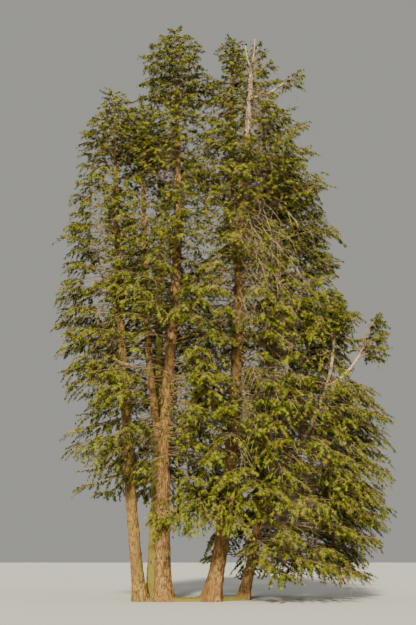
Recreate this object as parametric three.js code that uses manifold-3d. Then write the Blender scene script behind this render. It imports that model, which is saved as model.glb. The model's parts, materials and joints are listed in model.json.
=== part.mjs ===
// A tall conifer of the cypress family that grows as a clump: several stems from one root, under one shared
// crown of drooping, fern-like sprays. Millimetres, +Z up, +X to the right and +Y to the back of the view
// that it is seen in. The origin is in the middle of the flat cut under the main stem, at ground level.
import * as THREE from "three";
import { mergeVertices } from "three/addons/utils/BufferGeometryUtils.js";
import Module from "manifold-3d";

const wasm = await Module();
wasm.setup();

// Shared sizes
const SEED = 20417;
const HASH_FACTOR = 2654435761;
const CLEARANCE = 0.3; // gap where one piece meets another
const SLIVER = 0.1; // edges shorter than this are closed up where pieces are joined
const LOWEST_TIP = 260; // the crown's tips are no lower than this
const LOWEST_POINT = 130; // and the rim of a spray no lower than this

// Each stem leans out from the clump near the ground, then drifts to its top, with a slow sway on the way.
// foot and top are [x, y]; splay is the early lean, reached over SPLAY_HEIGHT.
const SPLAY_HEIGHT = 3700;
const SWAY_LENGTH = 20000;
const SWAY_ACROSS = -0.4; // share of the sway that runs front to back
const TIP_RADIUS = 64;
const TAPER = 0.82;
const TIP_RUN = 400; // the stretch at its top that tells which way a stem grows
const FOOT_GROWTH = 1.04; // a stem's radius at the ground, without its flare, as a share of its radius
const STEMS = {
  main_stem: {
    foot: [0, 0], splay: [-20, -40], top: [360, 60],
    height: 21900, radius: 292, sway: -160, flare: 190,
  },
  left_stem: {
    foot: [-870, -40], splay: [-470, 30], top: [-2400, 130],
    height: 18900, radius: 225, sway: 60, flare: 135,
  },
  back_stem: {
    foot: [-500, 1000], splay: [-160, 520], top: [-300, 2250],
    height: 17500, radius: 225, sway: 90, flare: 130,
  },
  right_stem: {
    foot: [1800, 60], splay: [620, 40], top: [3620, 130],
    height: 22900, radius: 285, sway: 60, flare: 200,
  },
  far_right_stem: {
    foot: [3080, 1180], splay: [640, 240], top: [4900, 1150],
    height: 15600, radius: 185, sway: 80, flare: 120,
  },
};
// A fork leaves its stem at a height and runs up beside it. lean is the way it swings out low down.
const FORKS = {
  left_fork: {
    from: "main_stem", at: 5500, lean: [-640, 160], top: [-1200, 600], height: 18000, radius: 150,
  },
  right_fork: {
    from: "right_stem", at: 12500, lean: [-260, 330], top: [2780, 500], height: 21600, radius: 118,
  },
};
const FORK_SWING = 2600; // height over which a fork swings clear of its stem
const STEM_SIDES = 10;
const STEM_RINGS = 9;
const RING_CROWDING = 1.7; // rings stand closer near the ground
const FLARE_HEIGHT = 420;
const FLUTES = 5;
const FLUTE_DEPTH = 0.16;

// Low ridges of grafted root join the feet of the stems.
const ROOT_RIDGES = [
  ["main_stem", "left_stem"],
  ["main_stem", "back_stem"],
  ["main_stem", "right_stem"],
  ["right_stem", "far_right_stem"],
];
const RIDGE_WIDTH = 380; // half as wide, and this high, at the stems; both less half way
const RIDGE_HEIGHT = 230;
const RIDGE_WAIST = 0.6;
const RIDGE_SIDES = 8;
const WIDE = 20000; // side of a block that takes in every ridge

// Boughs that show. heading is in degrees from +X towards +Y; out and up place the tip; elbow is where the
// bend lies, as shares of out and up. at is a height on a stem, or a share of the way along a bough.
const BOUGHS = {
  low_limb: {
    from: "far_right_stem", at: 4800, heading: -12, out: 2520, up: 3250,
    elbow: [0.62, 0.2], radius: 95, tip: 66,
  },
  upright_limb: {
    from: "low_limb", at: 1, heading: -8, out: 600, up: 2750,
    elbow: [0.85, 0.4], radius: 64, tip: 44,
  },
  outer_limb: {
    from: "upright_limb", at: 0.2, heading: -4, out: 1550, up: 1500,
    elbow: [0.55, 0.2], radius: 54, tip: 40,
  },
  crossing_limb: {
    from: "left_fork", at: 9150, heading: 217, out: 2350, up: 420,
    elbow: [0.5, -0.3], radius: 62, tip: 30,
  },
  top_right_limb: {
    from: "right_stem", at: 21620, heading: -6, out: 1550, up: 650,
    elbow: [0.6, 0.1], radius: 50, tip: 38,
  },
  front_limb: {
    from: "right_stem", at: 3250, heading: 249, out: 1900, up: 620,
    elbow: [0.5, 1.2], radius: 66, tip: 46,
  },
};
const BOUGH_SIDES = 6;
const BOUGH_RINGS = 3;

// The forked, bare leader at the top of the right stem: two tines, each with its tip's [x, y, rise]
const LEADER = {
  tines: [[-250, -150, 1150], [190, -120, 1520]],
  radius: 46, // of the collar that they rise from
  thin: 0.8, // a tine's radius at its foot, as a share of that
  tip: 13,
  collar: 150,
  lap: 60, // how far the collar runs up past the fork
  out: 0.8, // where a tine bends, as shares of its way out and up
  up: 0.4,
};

// The crown. Each stem carries foliage over a fan of directions about facing, in tiers, each of so many
// masses. At a share u of the way from its peak down to its skirt, the foliage reaches spread * u^power from
// the stem, less the share tuck at the skirt. None of its tips is lower than its hem.
const CROWNS = [
  {
    name: "left", stem: "left_stem", peak: 22000, skirt: 5300, facing: 180, fan: 92,
    spread: 3850, power: 0.4, tuck: 0.4, hem: 6900,
    tiers: [16300, 12100, 7900], counts: [2, 3, 3],
  },
  {
    name: "front", stem: "main_stem", peak: 25300, skirt: 2300, facing: 270, fan: 58,
    spread: 5000, power: 0.56, tuck: 0.12, hem: 4900,
    tiers: [20000, 15900, 11700, 7200], counts: [1, 1, 1, 1],
  },
  {
    name: "low_left", stem: "main_stem", peak: 25300, skirt: 2300, facing: 244, fan: 26,
    spread: 3000, power: 0.5, tuck: 0.12, hem: 3500,
    tiers: [4500], counts: [1],
  },
  {
    name: "middle", stem: "main_stem", peak: 25300, skirt: 2300, facing: 120, fan: 84,
    spread: 4000, power: 0.5, tuck: 0.12, hem: 4200,
    tiers: [20000], counts: [1],
  },
  {
    name: "back", stem: "back_stem", peak: 20900, skirt: 2900, facing: 98, fan: 72,
    spread: 4300, power: 0.5, tuck: 0.12, hem: 4200,
    tiers: [14600, 10300, 5900], counts: [1, 2, 2],
  },
  {
    name: "right_front", stem: "right_stem", peak: 24700, skirt: 1900, facing: 264, fan: 66,
    spread: 4900, power: 0.58, tuck: 0.12, hem: 4000,
    tiers: [20700, 16300, 11800, 7000], counts: [1, 1, 1, 1],
  },
  {
    name: "right_side", stem: "right_stem", peak: 24700, skirt: 3000, facing: 24, fan: 54,
    spread: 6500, power: 0.52, tuck: 0.12, hem: 4200,
    tiers: [19500, 15900], counts: [1, 1],
  },
  {
    name: "fork", stem: "right_fork", peak: 25050, skirt: 13000, facing: 200, fan: 84,
    spread: 3000, power: 0.45, tuck: 0.12, hem: 13000,
    tiers: [19400], counts: [1],
  },
  {
    name: "leader", stem: "right_stem", peak: 24950, skirt: 18600, facing: 10, fan: 80,
    spread: 2600, power: 0.55, tuck: 0.12, hem: 18600,
    tiers: [22300], counts: [1],
  },
  {
    name: "far_right", stem: "far_right_stem", peak: 18900, skirt: 900, facing: 8, fan: 92,
    spread: 6150, power: 0.55, tuck: 0.2, hem: 900,
    tiers: [12600, 8900, 5300, 2300], counts: [2, 3, 2, 2],
  },
];
const INNER_REACH = 0.86; // at the edges of a fan the foliage reaches this share of its full reach
const NEAR_PEAK = 0.01; // and it never comes nearer to its peak than this share
const TUCK_POWER = 5; // how sharply it tucks in towards its skirt
const TIER_HEIGHT = 4200;
const TOP_STRETCH = 1.35; // how much further up the top tier of a crown spreads
const STAGGER = 0.1; // tiers are turned this share of a mass's width, one way and the other by turns

// A mass has a stalk to its first tip and a twig to each other tip. The tips are spread over its part of the
// crown as shares of its height and width. A twig leaves the stalk at the third number, a share of its way.
const TIPS = [
  [0.04, 0, 1],
  [0.4, -0.32, 0.52],
  [-0.38, -0.18, 0.42],
  [0.3, 0.34, 0.36],
  [-0.36, 0.36, 0.6],
  [-0.02, -0.48, 0.24],
  [0.42, 0.04, 0.3],
  [-0.1, 0.46, 0.16],
  [-0.46, 0.08, 0.7],
];
const MOST_SPRAYS = { crown: 6, tuft: 9, bough: 7 }; // in a mass: the first tips that have room
const TIP_SCATTER = 0.13; // how far a tip's reach may differ
const TOP_RISE = 0.75; // slope of the boughs at the top of the crown, and at the skirt
const SKIRT_RISE = -0.1;
const FLATTENING = 1.5; // how soon they are as flat as at the skirt
const TOP_MARGIN = 300; // least stretch of stem above a crown's topmost stalk
const SAG = 0.14;

// Tufts that carry the stems' own tips on up to the tops of the crown, and masses at the tips of boughs
const TUFTS = [
  { name: "middle_top", on: "left_fork", peak: 21900, girth: 1750 },
  { name: "left_top", on: "left_stem", peak: 22050, girth: 2050 },
  { name: "main_top", on: "main_stem", peak: 25300, girth: 2450 },
  { name: "back_top", on: "back_stem", peak: 20900, girth: 1980 },
  { name: "right_fork_top", on: "right_fork", peak: 25050, girth: 1700 },
  { name: "far_right_top", on: "far_right_stem", peak: 18900, girth: 2200 },
];
// A tuft's tips wind down from start, a share of its height, to depth; turn is the angle from one to the next
// in degrees, offset from one tuft to the next, and rise is the slope of its twigs.
const TUFT = {
  start: 0.24, depth: 0.9, power: 0.55, scatter: [0.88, 1.12],
  turn: 137.5, offset: 50, rise: 0.35,
};
const TUFT_TWIGS = [0.04, 0.97]; // its twigs leave its stalk between these shares of its length
const TUFT_KEY = 900;
const BOUGH_MASSES = [
  { name: "outer", on: "outer_limb", length: 1500, width: 2200, height: 3200 },
  { name: "upright", on: "upright_limb", length: 1700, width: 3000, height: 2200 },
  { name: "top_right", on: "top_right_limb", length: 1100, width: 1900, height: 1500 },
  { name: "low_front", on: "front_limb", length: 2100, width: 3800, height: 2200 },
];
const MASS_DEPTH = [0.55, 0.95]; // how far out the tips of such a mass lie, as shares of its length
const MASS_CLIMB = 0.5; // such a mass climbs this share as steeply as its bough
const MASS_SAG = 0.12;
const BOUGH_KEY = 950;

// Twigs and sprays. A spray is a thin toothed blade that stands for a branch of real sprays.
const STALK_RADIUS = 72;
const STALK_SINK = 25; // how deep a stalk starts in the tip of its limb, before it is cut clear of it
const STALK_FIT = 0.85; // its radius there, as a share of the tip's
const TWIG_RADIUS = 52;
const TWIG_SHARE = 0.8; // a twig is no thicker than this share of its stalk
const TWIG_TAPER = 0.68;
const TWIG_FLATNESS = 0.4; // how far its underside lies from its line, as a share of its radius
// One side of a blade from its root to its tip, in shares of its length: a tooth, a notch, and so on
const TEETH = [[0.38, 0.4], [0.46, 0.2], [0.78, 0.29], [0.74, 0.115]];
const FOLD = 0.35;
const SPRAY_LENGTH = { crown: 2600, tuft: 2100, bough: 2000 };
const BLADE_SHARES = [0.88, 0.56]; // longest and shortest share of a twig's way that its spray takes up
const STALK_BLADE = 0.6; // largest share of a stalk's way that its own spray takes up
const UPRIGHT_BLADE = 0.35; // and of a tuft's stalk
const STALK_BENDS = 3; // straight stretches that a bent stalk is made of
const END_DROOP = 0.65; // how steeply a spray nods
const ROLL = 0.9;
const TRIES = 16; // for a twig or a stalk: each is turned another way, and the later ones grow shorter
const FULL_TRIES = 5; // how many of them are as long as they should be
const SHORTEST = 0.6;
const SWING = 0.45; // radians
const NODE_GAP = 1; // least gap between a piece and the other nodes
const TWIG_GAP = 5; // and between a twig and the mass's other twigs
const BLADE_GAP = 20; // and between a spray's blade and the stalk
const BLADE_PROBE = { start: 0.06, radius: 8 }; // the part of a blade that has to keep that gap

const UP = new THREE.Vector3(0, 0, 1);
const EDGE_ON = 0.95; // a line steeper than this share of its length counts as upright
const WELD = 1e-3; // corners closer than this are one

// Colours, as seen in sunlight
const finish = (name, color, roughness) => {
  return new THREE.MeshStandardMaterial({ name, color, roughness, metalness: 0 });
};
const BARK = finish("bark", 0x8a6148, 0.9);
const BARE_WOOD = finish("bare_wood", 0xb3a184, 0.85);
const SPRAYS = finish("sprays", 0x5f6b26, 0.65);

/** A repeatable number from 0 to 1 for each list of whole numbers. */
function draw(...keys) {
  let h = SEED;
  for (const key of keys) {
    h = Math.imul(h ^ (key + 1), HASH_FACTOR) >>> 0;
    h = (h ^ (h >>> 15)) >>> 0;
  }
  return h / 2 ** 32;
}

const mix = (a, b, t) => a + (b - a) * t;
const headingVector = (degrees) => {
  const a = THREE.MathUtils.degToRad(degrees);
  return new THREE.Vector3(Math.cos(a), Math.sin(a), 0);
};

/** A closed three.js geometry as a manifold solid. */
function solidOf(geometry) {
  const bare = geometry.clone();
  bare.deleteAttribute("normal");
  bare.deleteAttribute("uv");
  const merged = mergeVertices(bare, WELD);
  return new wasm.Manifold(
    new wasm.Mesh({
      numProp: 3,
      vertProperties: new Float32Array(merged.attributes.position.array),
      triVerts: new Uint32Array(merged.index.array),
    }),
  );
}

/** A manifold solid as a named three.js mesh. */
function meshOf(solid, name, material) {
  const { numProp, numVert, vertProperties, triVerts } = solid.getMesh();
  const positions = new Float32Array(numVert * 3);
  for (let i = 0; i < numVert; i++) {
    positions.set(vertProperties.subarray(i * numProp, i * numProp + 3), i * 3);
  }
  const geometry = new THREE.BufferGeometry();
  geometry.setAttribute("position", new THREE.BufferAttribute(positions, 3));
  geometry.setIndex(new THREE.BufferAttribute(triVerts, 1));
  geometry.computeVertexNormals();
  const mesh = new THREE.Mesh(geometry, material);
  mesh.name = name;
  return mesh;
}

/** The largest body of a solid as it will be stored: a scrap is dropped and a sealed hollow filled. */
function largest(solid) {
  const body = (whole) => whole.decompose().reduce((a, b) => (b.volume() > a.volume() ? b : a));
  const stored = solidOf(meshOf(body(solid).simplify(SLIVER), "", BARK).geometry);
  return body(stored);
}

/**
 * A limb: the rings of a cylinder moved along a path. place(t, angle) gives a point of its surface, or of its
 * centre line where angle is null.
 */
function limbSolid(place, sides, rings) {
  const geometry = new THREE.CylinderGeometry(1, 1, 1, sides, rings);
  const position = geometry.attributes.position;
  for (let i = 0; i < position.count; i++) {
    const across = Math.hypot(position.getX(i), position.getZ(i));
    const angle = across < 0.5 ? null : Math.atan2(position.getZ(i), position.getX(i));
    const p = place(position.getY(i) + 0.5, angle);
    position.setXYZ(i, p.x, p.y, p.z);
  }
  return solidOf(geometry);
}

/** The straight or bent line of a stem or fork: its centre and radius at each height. */
class Stem {
  constructor(name, spec, parent) {
    Object.assign(this, { name, ...spec, parent });
    this.foot = spec.foot ?? [parent.centre(spec.at).x, parent.centre(spec.at).y];
    this.splay = spec.splay ?? spec.lean;
    this.base = spec.at ?? 0;
    this.swing = parent ? FORK_SWING : SPLAY_HEIGHT;
    this.phase = draw(name.length, 7) * Math.PI;
  }
  centre(z) {
    const t = (z - this.base) / (this.height - this.base);
    const early = 1 - Math.exp(-(z - this.base) / this.swing);
    const sway = this.parent ? 0 : this.sway * Math.sin((2 * Math.PI * z) / SWAY_LENGTH);
    const [x, y] = [0, 1].map((k) => {
      return this.foot[k] + this.splay[k] * early + (this.top[k] - this.foot[k] - this.splay[k]) * t;
    });
    return new THREE.Vector3(x + sway, y + sway * SWAY_ACROSS, z);
  }
  radiusAt(z) {
    const full = (z - this.base) / (this.height - this.base);
    const share = Math.pow(1 - Math.min(1, Math.max(0, full)), TAPER);
    const flare = (this.flare ?? 0) * Math.exp(-z / FLARE_HEIGHT);
    return mix(TIP_RADIUS, this.radius * FOOT_GROWTH, share) + flare;
  }
  surface(z, angle, grow) {
    const fade = this.parent ? 0 : Math.exp(-z / (2 * FLARE_HEIGHT));
    const fluting = 1 + FLUTE_DEPTH * Math.cos(FLUTES * angle + this.phase) * fade;
    const r = this.radiusAt(z) * fluting + grow;
    return this.centre(z).add(new THREE.Vector3(Math.cos(angle) * r, -Math.sin(angle) * r, 0));
  }
  solid(grow = 0) {
    const place = (t, angle) => {
      const end = t < 0.01 ? -grow : t > 0.99 ? grow : 0;
      const z = mix(this.base, this.height, Math.pow(t, RING_CROWDING)) + end;
      return angle === null ? this.centre(z) : this.surface(z, angle, grow);
    };
    return limbSolid(place, STEM_SIDES, STEM_RINGS);
  }
  pointAt(z) {
    return this.centre(z);
  }
  tip() {
    return this.centre(this.height);
  }
  tipDirection() {
    return this.tip().sub(this.centre(this.height - TIP_RUN)).normalize();
  }
}

/** A tapering limb along a curve with one bend. */
class Limb {
  constructor(name, start, elbow, end, radius, tipRadius, sides = BOUGH_SIDES, rings = BOUGH_RINGS) {
    Object.assign(this, { name, radius, tipRadius, sides, rings });
    this.curve = new THREE.QuadraticBezierCurve3(start, elbow, end);
  }
  pointAt(t) {
    return this.curve.getPoint(t);
  }
  tip() {
    return this.curve.getPoint(1);
  }
  tipDirection() {
    return this.curve.getTangent(1);
  }
  solid(grow = 0) {
    const run = this.curve.getPoint(1).sub(this.curve.getPoint(0));
    const reference = Math.abs(run.z) > 0.9 * run.length() ? new THREE.Vector3(1, 0, 0) : UP;
    const place = (t, angle) => {
      const p = this.curve.getPoint(t);
      const along = this.curve.getTangent(t);
      if (angle === null) return p.addScaledVector(along, t > 0.99 ? grow : 0);
      const e1 = new THREE.Vector3().crossVectors(along, reference).normalize();
      const e2 = new THREE.Vector3().crossVectors(e1, along);
      const r = mix(this.radius, this.tipRadius, t) + grow;
      p.addScaledVector(along, t > 0.99 ? grow : 0);
      return p.addScaledVector(e1, Math.cos(angle) * r).addScaledVector(e2, Math.sin(angle) * r);
    };
    return limbSolid(place, this.sides, this.rings);
  }
}

/**
 * A spray and the twig it ends: a three-sided twig along all points but the last, and from the last but one
 * to the last a toothed blade, folded a little along its midrib. roll turns it all about its own line.
 */
function spraySolid({ points, radii, roll }) {
  const rings = points.slice(0, -1).map((p, i) => {
    const along = points[i + 1].clone().sub(points[Math.max(0, i - 1)]).normalize();
    const level = Math.abs(along.z) > EDGE_ON ? new THREE.Vector3(1, 0, 0) : UP;
    const side = new THREE.Vector3().crossVectors(along, level).normalize().applyAxisAngle(along, roll);
    return { p, side, normal: new THREE.Vector3().crossVectors(along, side), r: radii[i] };
  });
  const vertices = rings.flatMap(({ p, side, normal, r }) => {
    const floor = p.clone().addScaledVector(normal, -r * TWIG_FLATNESS);
    return [
      floor.clone().addScaledVector(side, -r),
      p.clone().addScaledVector(normal, r),
      floor.clone().addScaledVector(side, r),
    ];
  });
  const faces = [[0, 1, 2]];
  for (let i = 0; i + 1 < rings.length; i++) {
    for (let k = 0; k < 3; k++) {
      const [p, q] = [3 * i + k, 3 * i + ((k + 1) % 3)];
      faces.push([p, p + 3, q], [q, p + 3, q + 3]);
    }
  }
  const { p: base, side, normal } = rings.at(-1);
  const blade = points.at(-1).clone().sub(base);
  const length = blade.length();
  const place = ([x, y]) => {
    const point = base.clone().addScaledVector(blade, x).addScaledVector(side, y * length);
    return point.addScaledVector(normal, -FOLD * Math.abs(y) * length);
  };
  const rim = [...TEETH.map(([x, y]) => place([x, -y])), place([1, 0]), ...TEETH.map(place).reverse()];
  const [left, top, right] = [3, 2, 1].map((k) => vertices.length - k);
  const loop = [left, ...rim.map((_, k) => vertices.length + k), right];
  vertices.push(...rim);
  for (let k = 0; k + 1 < loop.length; k++) faces.push([top, loop[k], loop[k + 1]]);
  for (let k = 0; k + 2 < loop.length; k++) faces.push([right, loop[k + 1], loop[k]]);
  const geometry = new THREE.BufferGeometry().setFromPoints(vertices);
  geometry.setIndex(faces.flat());
  return solidOf(geometry);
}

/** How far the foliage of a crown reaches from its stem, at a height and heading. */
function reachAt(crown, z, heading) {
  const u = Math.min(1, Math.max(NEAR_PEAK, (crown.peak - z) / (crown.peak - crown.skirt)));
  const turned = THREE.MathUtils.degToRad(heading - crown.facing);
  const inward = mix(INNER_REACH, 1, (1 + Math.cos(turned)) / 2);
  return crown.spread * Math.pow(u, crown.power) * inward * (1 - crown.tuck * Math.pow(u, TUCK_POWER));
}

/** The masses of a crown: where each is rooted on its stem, and its tips. */
function crownMasses(crown, crownIndex) {
  const stem = limbs.get(crown.stem);
  const masses = [];
  crown.tiers.forEach((height, tier) => {
    const count = crown.counts[tier];
    const width = (2 * crown.fan) / count;
    for (let j = 0; j < count; j++) {
      const stagger = (tier % 2 ? STAGGER : -STAGGER) * width;
      const middle = crown.facing - crown.fan + width * (j + 0.5) + stagger;
      const key = crownIndex * 100 + tier * 10 + j;
      const low = Math.min(TIER_HEIGHT, 2 * (height - LOWEST_TIP));
      const high = TIER_HEIGHT * (tier ? 1 : TOP_STRETCH);
      const tips = TIPS.map(([rise, turn], k) => {
        const z = Math.max(crown.hem, height + rise * (rise > 0 ? high : low));
        const heading = middle + turn * width;
        const scatter = 1 + TIP_SCATTER * (2 * draw(key, k, 1) - 1);
        const out = reachAt(crown, z, heading) * scatter;
        return stem.centre(Math.min(z, stem.height)).setZ(z).addScaledVector(headingVector(heading), out);
      });
      const u = (crown.peak - height) / (crown.peak - crown.skirt);
      const run = Math.hypot(tips[0].x - stem.centre(height).x, tips[0].y - stem.centre(height).y);
      const climb = (mix(TOP_RISE, SKIRT_RISE, Math.min(1, u * FLATTENING)) - SAG) * run;
      const root = stem.centre(Math.min(height - climb, stem.height - TOP_MARGIN));
      const name = `${crown.name}_foliage_${masses.length + 1}`;
      masses.push({ name, kind: "crown", carrier: crown.stem, key, root, tips, radius: STALK_RADIUS });
    }
  });
  return masses;
}

/** The mass that carries a stem's own tip on upwards, as a cone. */
function tuftMass(tuft, index) {
  const stem = limbs.get(tuft.on);
  const root = stem.tip().addScaledVector(UP, -STALK_SINK);
  const top = root.clone().setZ(tuft.peak).addScaledVector(stem.tipDirection().setZ(0), tuft.peak - root.z);
  const tips = [top];
  for (let k = 1; k <= MOST_SPRAYS.tuft; k++) {
    const u = mix(TUFT.start, 1, (k - 1) / (MOST_SPRAYS.tuft - 1));
    const out = tuft.girth * Math.pow(u, TUFT.power) * mix(...TUFT.scatter, draw(index, k, 2));
    const p = top.clone().lerp(root, u * TUFT.depth);
    tips.push(p.addScaledVector(headingVector(k * TUFT.turn + index * TUFT.offset), out));
  }
  const name = `${tuft.name}_foliage`;
  const radius = TIP_RADIUS * STALK_FIT;
  return { name, kind: "tuft", carrier: tuft.on, key: TUFT_KEY + index, root, tips, radius };
}

/** The mass at the tip of a bough. */
function boughMass(spec, index) {
  const bough = limbs.get(spec.on);
  const root = bough.tip().addScaledVector(bough.tipDirection(), -STALK_SINK);
  const along = bough.tipDirection();
  along.z *= MASS_CLIMB;
  along.normalize();
  const side = new THREE.Vector3().crossVectors(along, UP).normalize();
  const tips = TIPS.map(([rise, turn], k) => {
    const out = spec.length * (k ? mix(...MASS_DEPTH, draw(index, k, 3)) : 1);
    return root
      .clone()
      .addScaledVector(along, out)
      .addScaledVector(side, turn * spec.width)
      .addScaledVector(UP, rise * spec.height - MASS_SAG * out);
  });
  const name = `${spec.name}_foliage`;
  const radius = bough.tipRadius * STALK_FIT;
  return { name, kind: "bough", carrier: spec.on, key: BOUGH_KEY + index, root, tips, radius };
}

/** Whether two solids stay further apart than a distance. */
function isApart(piece, other, distance) {
  const a = piece.boundingBox();
  const b = other.boundingBox();
  const away = [0, 1, 2].some((k) => a.min[k] > b.max[k] + distance || b.min[k] > a.max[k] + distance);
  return away || piece.minGap(other, distance * 1.1) > distance;
}

/** One mass while it grows: its pieces are fused at the end, and each keeps clear of every other node. */
class Mass {
  constructor(spec, others) {
    Object.assign(this, spec);
    this.others = others;
    this.length = SPRAY_LENGTH[this.kind];
    this.pieces = [];
  }
  /** Adds a spray that meets its own mass only where its twig leaves the stalk, and no other node at all. */
  addSpray(spray) {
    const [base, tip] = spray.points.slice(-2);
    const bladeStart = base.clone().lerp(tip, BLADE_PROBE.start);
    const blade = spraySolid({ points: [bladeStart, tip], radii: [BLADE_PROBE.radius], roll: spray.roll });
    if (!isApart(blade, this.pieces[0], BLADE_GAP)) return false;
    const piece = spraySolid(spray);
    if (!this.pieces.slice(1).every((own) => isApart(piece, own, TWIG_GAP))) return false;
    if (piece.boundingBox().min[2] < LOWEST_POINT) return false;
    if (![...this.others.values()].every((other) => isApart(piece, other, NODE_GAP))) return false;
    this.pieces.push(piece);
    return true;
  }
  /** A twig from the stalk to a tip, ending in a spray. Where it has no room it is turned, then shortened. */
  addTwig(from, tip, k) {
    const radius = Math.min(TWIG_RADIUS, this.radius * TWIG_SHARE);
    if (this.pieces.length === MOST_SPRAYS[this.kind]) return;
    for (let i = 0; i < TRIES; i++) {
      const { swing, reach } = this.attempt(i, k);
      const end = tip.clone().sub(from).applyAxisAngle(UP, swing).multiplyScalar(reach).add(from);
      const direction = end.clone().sub(from).normalize();
      direction.z -= END_DROOP;
      direction.normalize();
      const share = mix(...BLADE_SHARES, draw(this.key, k, 60 + i));
      const blade = Math.min(this.length, end.distanceTo(from) * share);
      const base = end.clone().addScaledVector(direction, -blade);
      const radii = [radius, radius * TWIG_TAPER];
      const roll = mix(-ROLL, ROLL, draw(this.key, k, 40 + i));
      if (this.addSpray({ points: [from, base, end], radii, roll })) return;
    }
  }
  /** How far the i-th try for the k-th tip is turned, and its length as a share of the full one. */
  attempt(i, k) {
    const swing = i ? mix(-SWING, SWING, draw(this.key, k, 20 + i)) : 0;
    const shrink = Math.max(0, i - FULL_TRIES) / (TRIES - 1 - FULL_TRIES);
    return { swing, reach: mix(1, SHORTEST, shrink) };
  }
  /** The stalk to a tip, ending in a spray: its bend, its end, and its solid cut clear of its carrier. */
  stalkTo(tip, carrierGrown) {
    const upright = this.kind === "tuft";
    const span = this.root.distanceTo(tip);
    const most = upright ? UPRIGHT_BLADE : STALK_BLADE;
    const end = this.root.clone().lerp(tip, 1 - Math.min(most, this.length / span));
    const bend = this.root.clone().lerp(end, 0.5);
    bend.z += upright ? 0 : SAG * span;
    const curve = new THREE.QuadraticBezierCurve3(this.root, bend, end);
    const stalk = curve.getPoints(upright ? 1 : STALK_BENDS);
    const radii = stalk.map((_, i) => this.radius * mix(1, TWIG_TAPER, i / (stalk.length - 1)));
    const roll = mix(-ROLL, ROLL, draw(this.key, 0, 4));
    const whole = spraySolid({ points: [...stalk, tip], radii, roll });
    const others = [...this.others].filter(([name]) => name !== this.carrier);
    if (!others.every(([, other]) => isApart(whole, other, NODE_GAP))) return null;
    return { curve, end, solid: largest(whole.subtract(carrierGrown)) };
  }
  /** The stalk with the mass's first spray, and the twigs with the others, all fused. */
  grow(carrierGrown) {
    const first = this.tips[0].clone().sub(this.root);
    let stalk = null;
    for (let i = 0; i < TRIES && !stalk; i++) {
      const { swing, reach } = this.attempt(i, 0);
      const tip = first.clone().applyAxisAngle(UP, swing).multiplyScalar(reach).add(this.root);
      stalk = this.stalkTo(tip, carrierGrown);
    }
    if (!stalk) return null;
    this.pieces.push(stalk.solid);
    this.tips.slice(1).forEach((tip, i) => {
      const out = Math.hypot(tip.x - stalk.end.x, tip.y - stalk.end.y);
      const level = (tip.z - this.root.z - TUFT.rise * out) / (stalk.end.z - this.root.z);
      const share = this.kind === "tuft" ? THREE.MathUtils.clamp(level, ...TUFT_TWIGS) : TIPS[i + 1][2];
      this.addTwig(stalk.curve.getPoint(share), tip, i + 1);
    });
    return largest(this.pieces.reduce((a, b) => a.add(b)));
  }
}

// Stems and forks
const limbs = new Map();
for (const [name, spec] of Object.entries(STEMS)) limbs.set(name, new Stem(name, spec));
for (const [name, spec] of Object.entries(FORKS)) limbs.set(name, new Stem(name, spec, limbs.get(spec.from)));

// Boughs, each from a point on its carrier
for (const [name, spec] of Object.entries(BOUGHS)) {
  const carrier = limbs.get(spec.from);
  const out = headingVector(spec.heading);
  const start = carrier.pointAt(spec.at);
  const end = start.clone().addScaledVector(out, spec.out).addScaledVector(UP, spec.up);
  const elbow = start
    .clone()
    .addScaledVector(out, spec.out * spec.elbow[0])
    .addScaledVector(UP, spec.up * spec.elbow[1]);
  limbs.set(name, new Limb(name, start, elbow, end, spec.radius, spec.tip));
}

/** A low, flat-footed ridge of root from one stem's foot to another's. */
function rootRidge(from, to) {
  const start = limbs.get(from).centre(0);
  const end = limbs.get(to).centre(0);
  const along = end.clone().sub(start).normalize();
  const side = new THREE.Vector3().crossVectors(along, UP);
  const place = (t, angle) => {
    const p = start.clone().lerp(end, t);
    const share = mix(RIDGE_WAIST, 1, Math.pow(2 * t - 1, 2));
    if (angle === null) return p;
    const across = Math.cos(angle) * RIDGE_WIDTH * share;
    return p.addScaledVector(side, across).addScaledVector(UP, Math.sin(angle) * RIDGE_HEIGHT * share);
  };
  const aboveGround = new THREE.BoxGeometry(WIDE, WIDE, WIDE).translate(0, 0, WIDE / 2);
  return limbSolid(place, RIDGE_SIDES, 2).intersect(solidOf(aboveGround));
}

const solids = new Map();
const grown = new Map([...limbs].map(([name, limb]) => [name, limb.solid(CLEARANCE)]));

for (const name of Object.keys(STEMS)) {
  const own = ROOT_RIDGES.filter(([from]) => from === name);
  const stem = limbs.get(name).solid();
  const joined = own.reduce((whole, [from, to]) => whole.add(rootRidge(from, to)), stem);
  const clear = own.reduce((whole, [, to]) => whole.subtract(grown.get(to)), joined);
  solids.set(name, own.length ? largest(clear) : stem);
}
for (const [name, spec] of Object.entries(FORKS)) {
  solids.set(name, largest(limbs.get(name).solid().subtract(grown.get(spec.from))));
}
for (const [name, spec] of Object.entries(BOUGHS)) {
  solids.set(name, largest(limbs.get(name).solid().subtract(grown.get(spec.from))));
}

/** The bare leader: two tines from one collar on the stem's tip. */
function leaderSolid() {
  const foot = limbs.get("right_stem").tip().addScaledVector(UP, CLEARANCE);
  const fork = foot.clone().addScaledVector(UP, LEADER.collar);
  const top = fork.clone().addScaledVector(UP, LEADER.lap);
  const middle = foot.clone().lerp(fork, 0.5);
  const collar = new Limb("collar", foot, middle, top, LEADER.radius, LEADER.radius, 6, 1);
  const tines = LEADER.tines.map(([x, y, rise]) => {
    const end = fork.clone().add(new THREE.Vector3(x, y, rise));
    const elbow = fork.clone().add(new THREE.Vector3(x, y, 0).multiplyScalar(LEADER.out));
    elbow.z += rise * LEADER.up;
    return new Limb("tine", fork, elbow, end, LEADER.radius * LEADER.thin, LEADER.tip, 5, 3).solid();
  });
  return tines.reduce((a, b) => a.add(b), collar.solid());
}
solids.set("bare_leader", leaderSolid());

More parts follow.
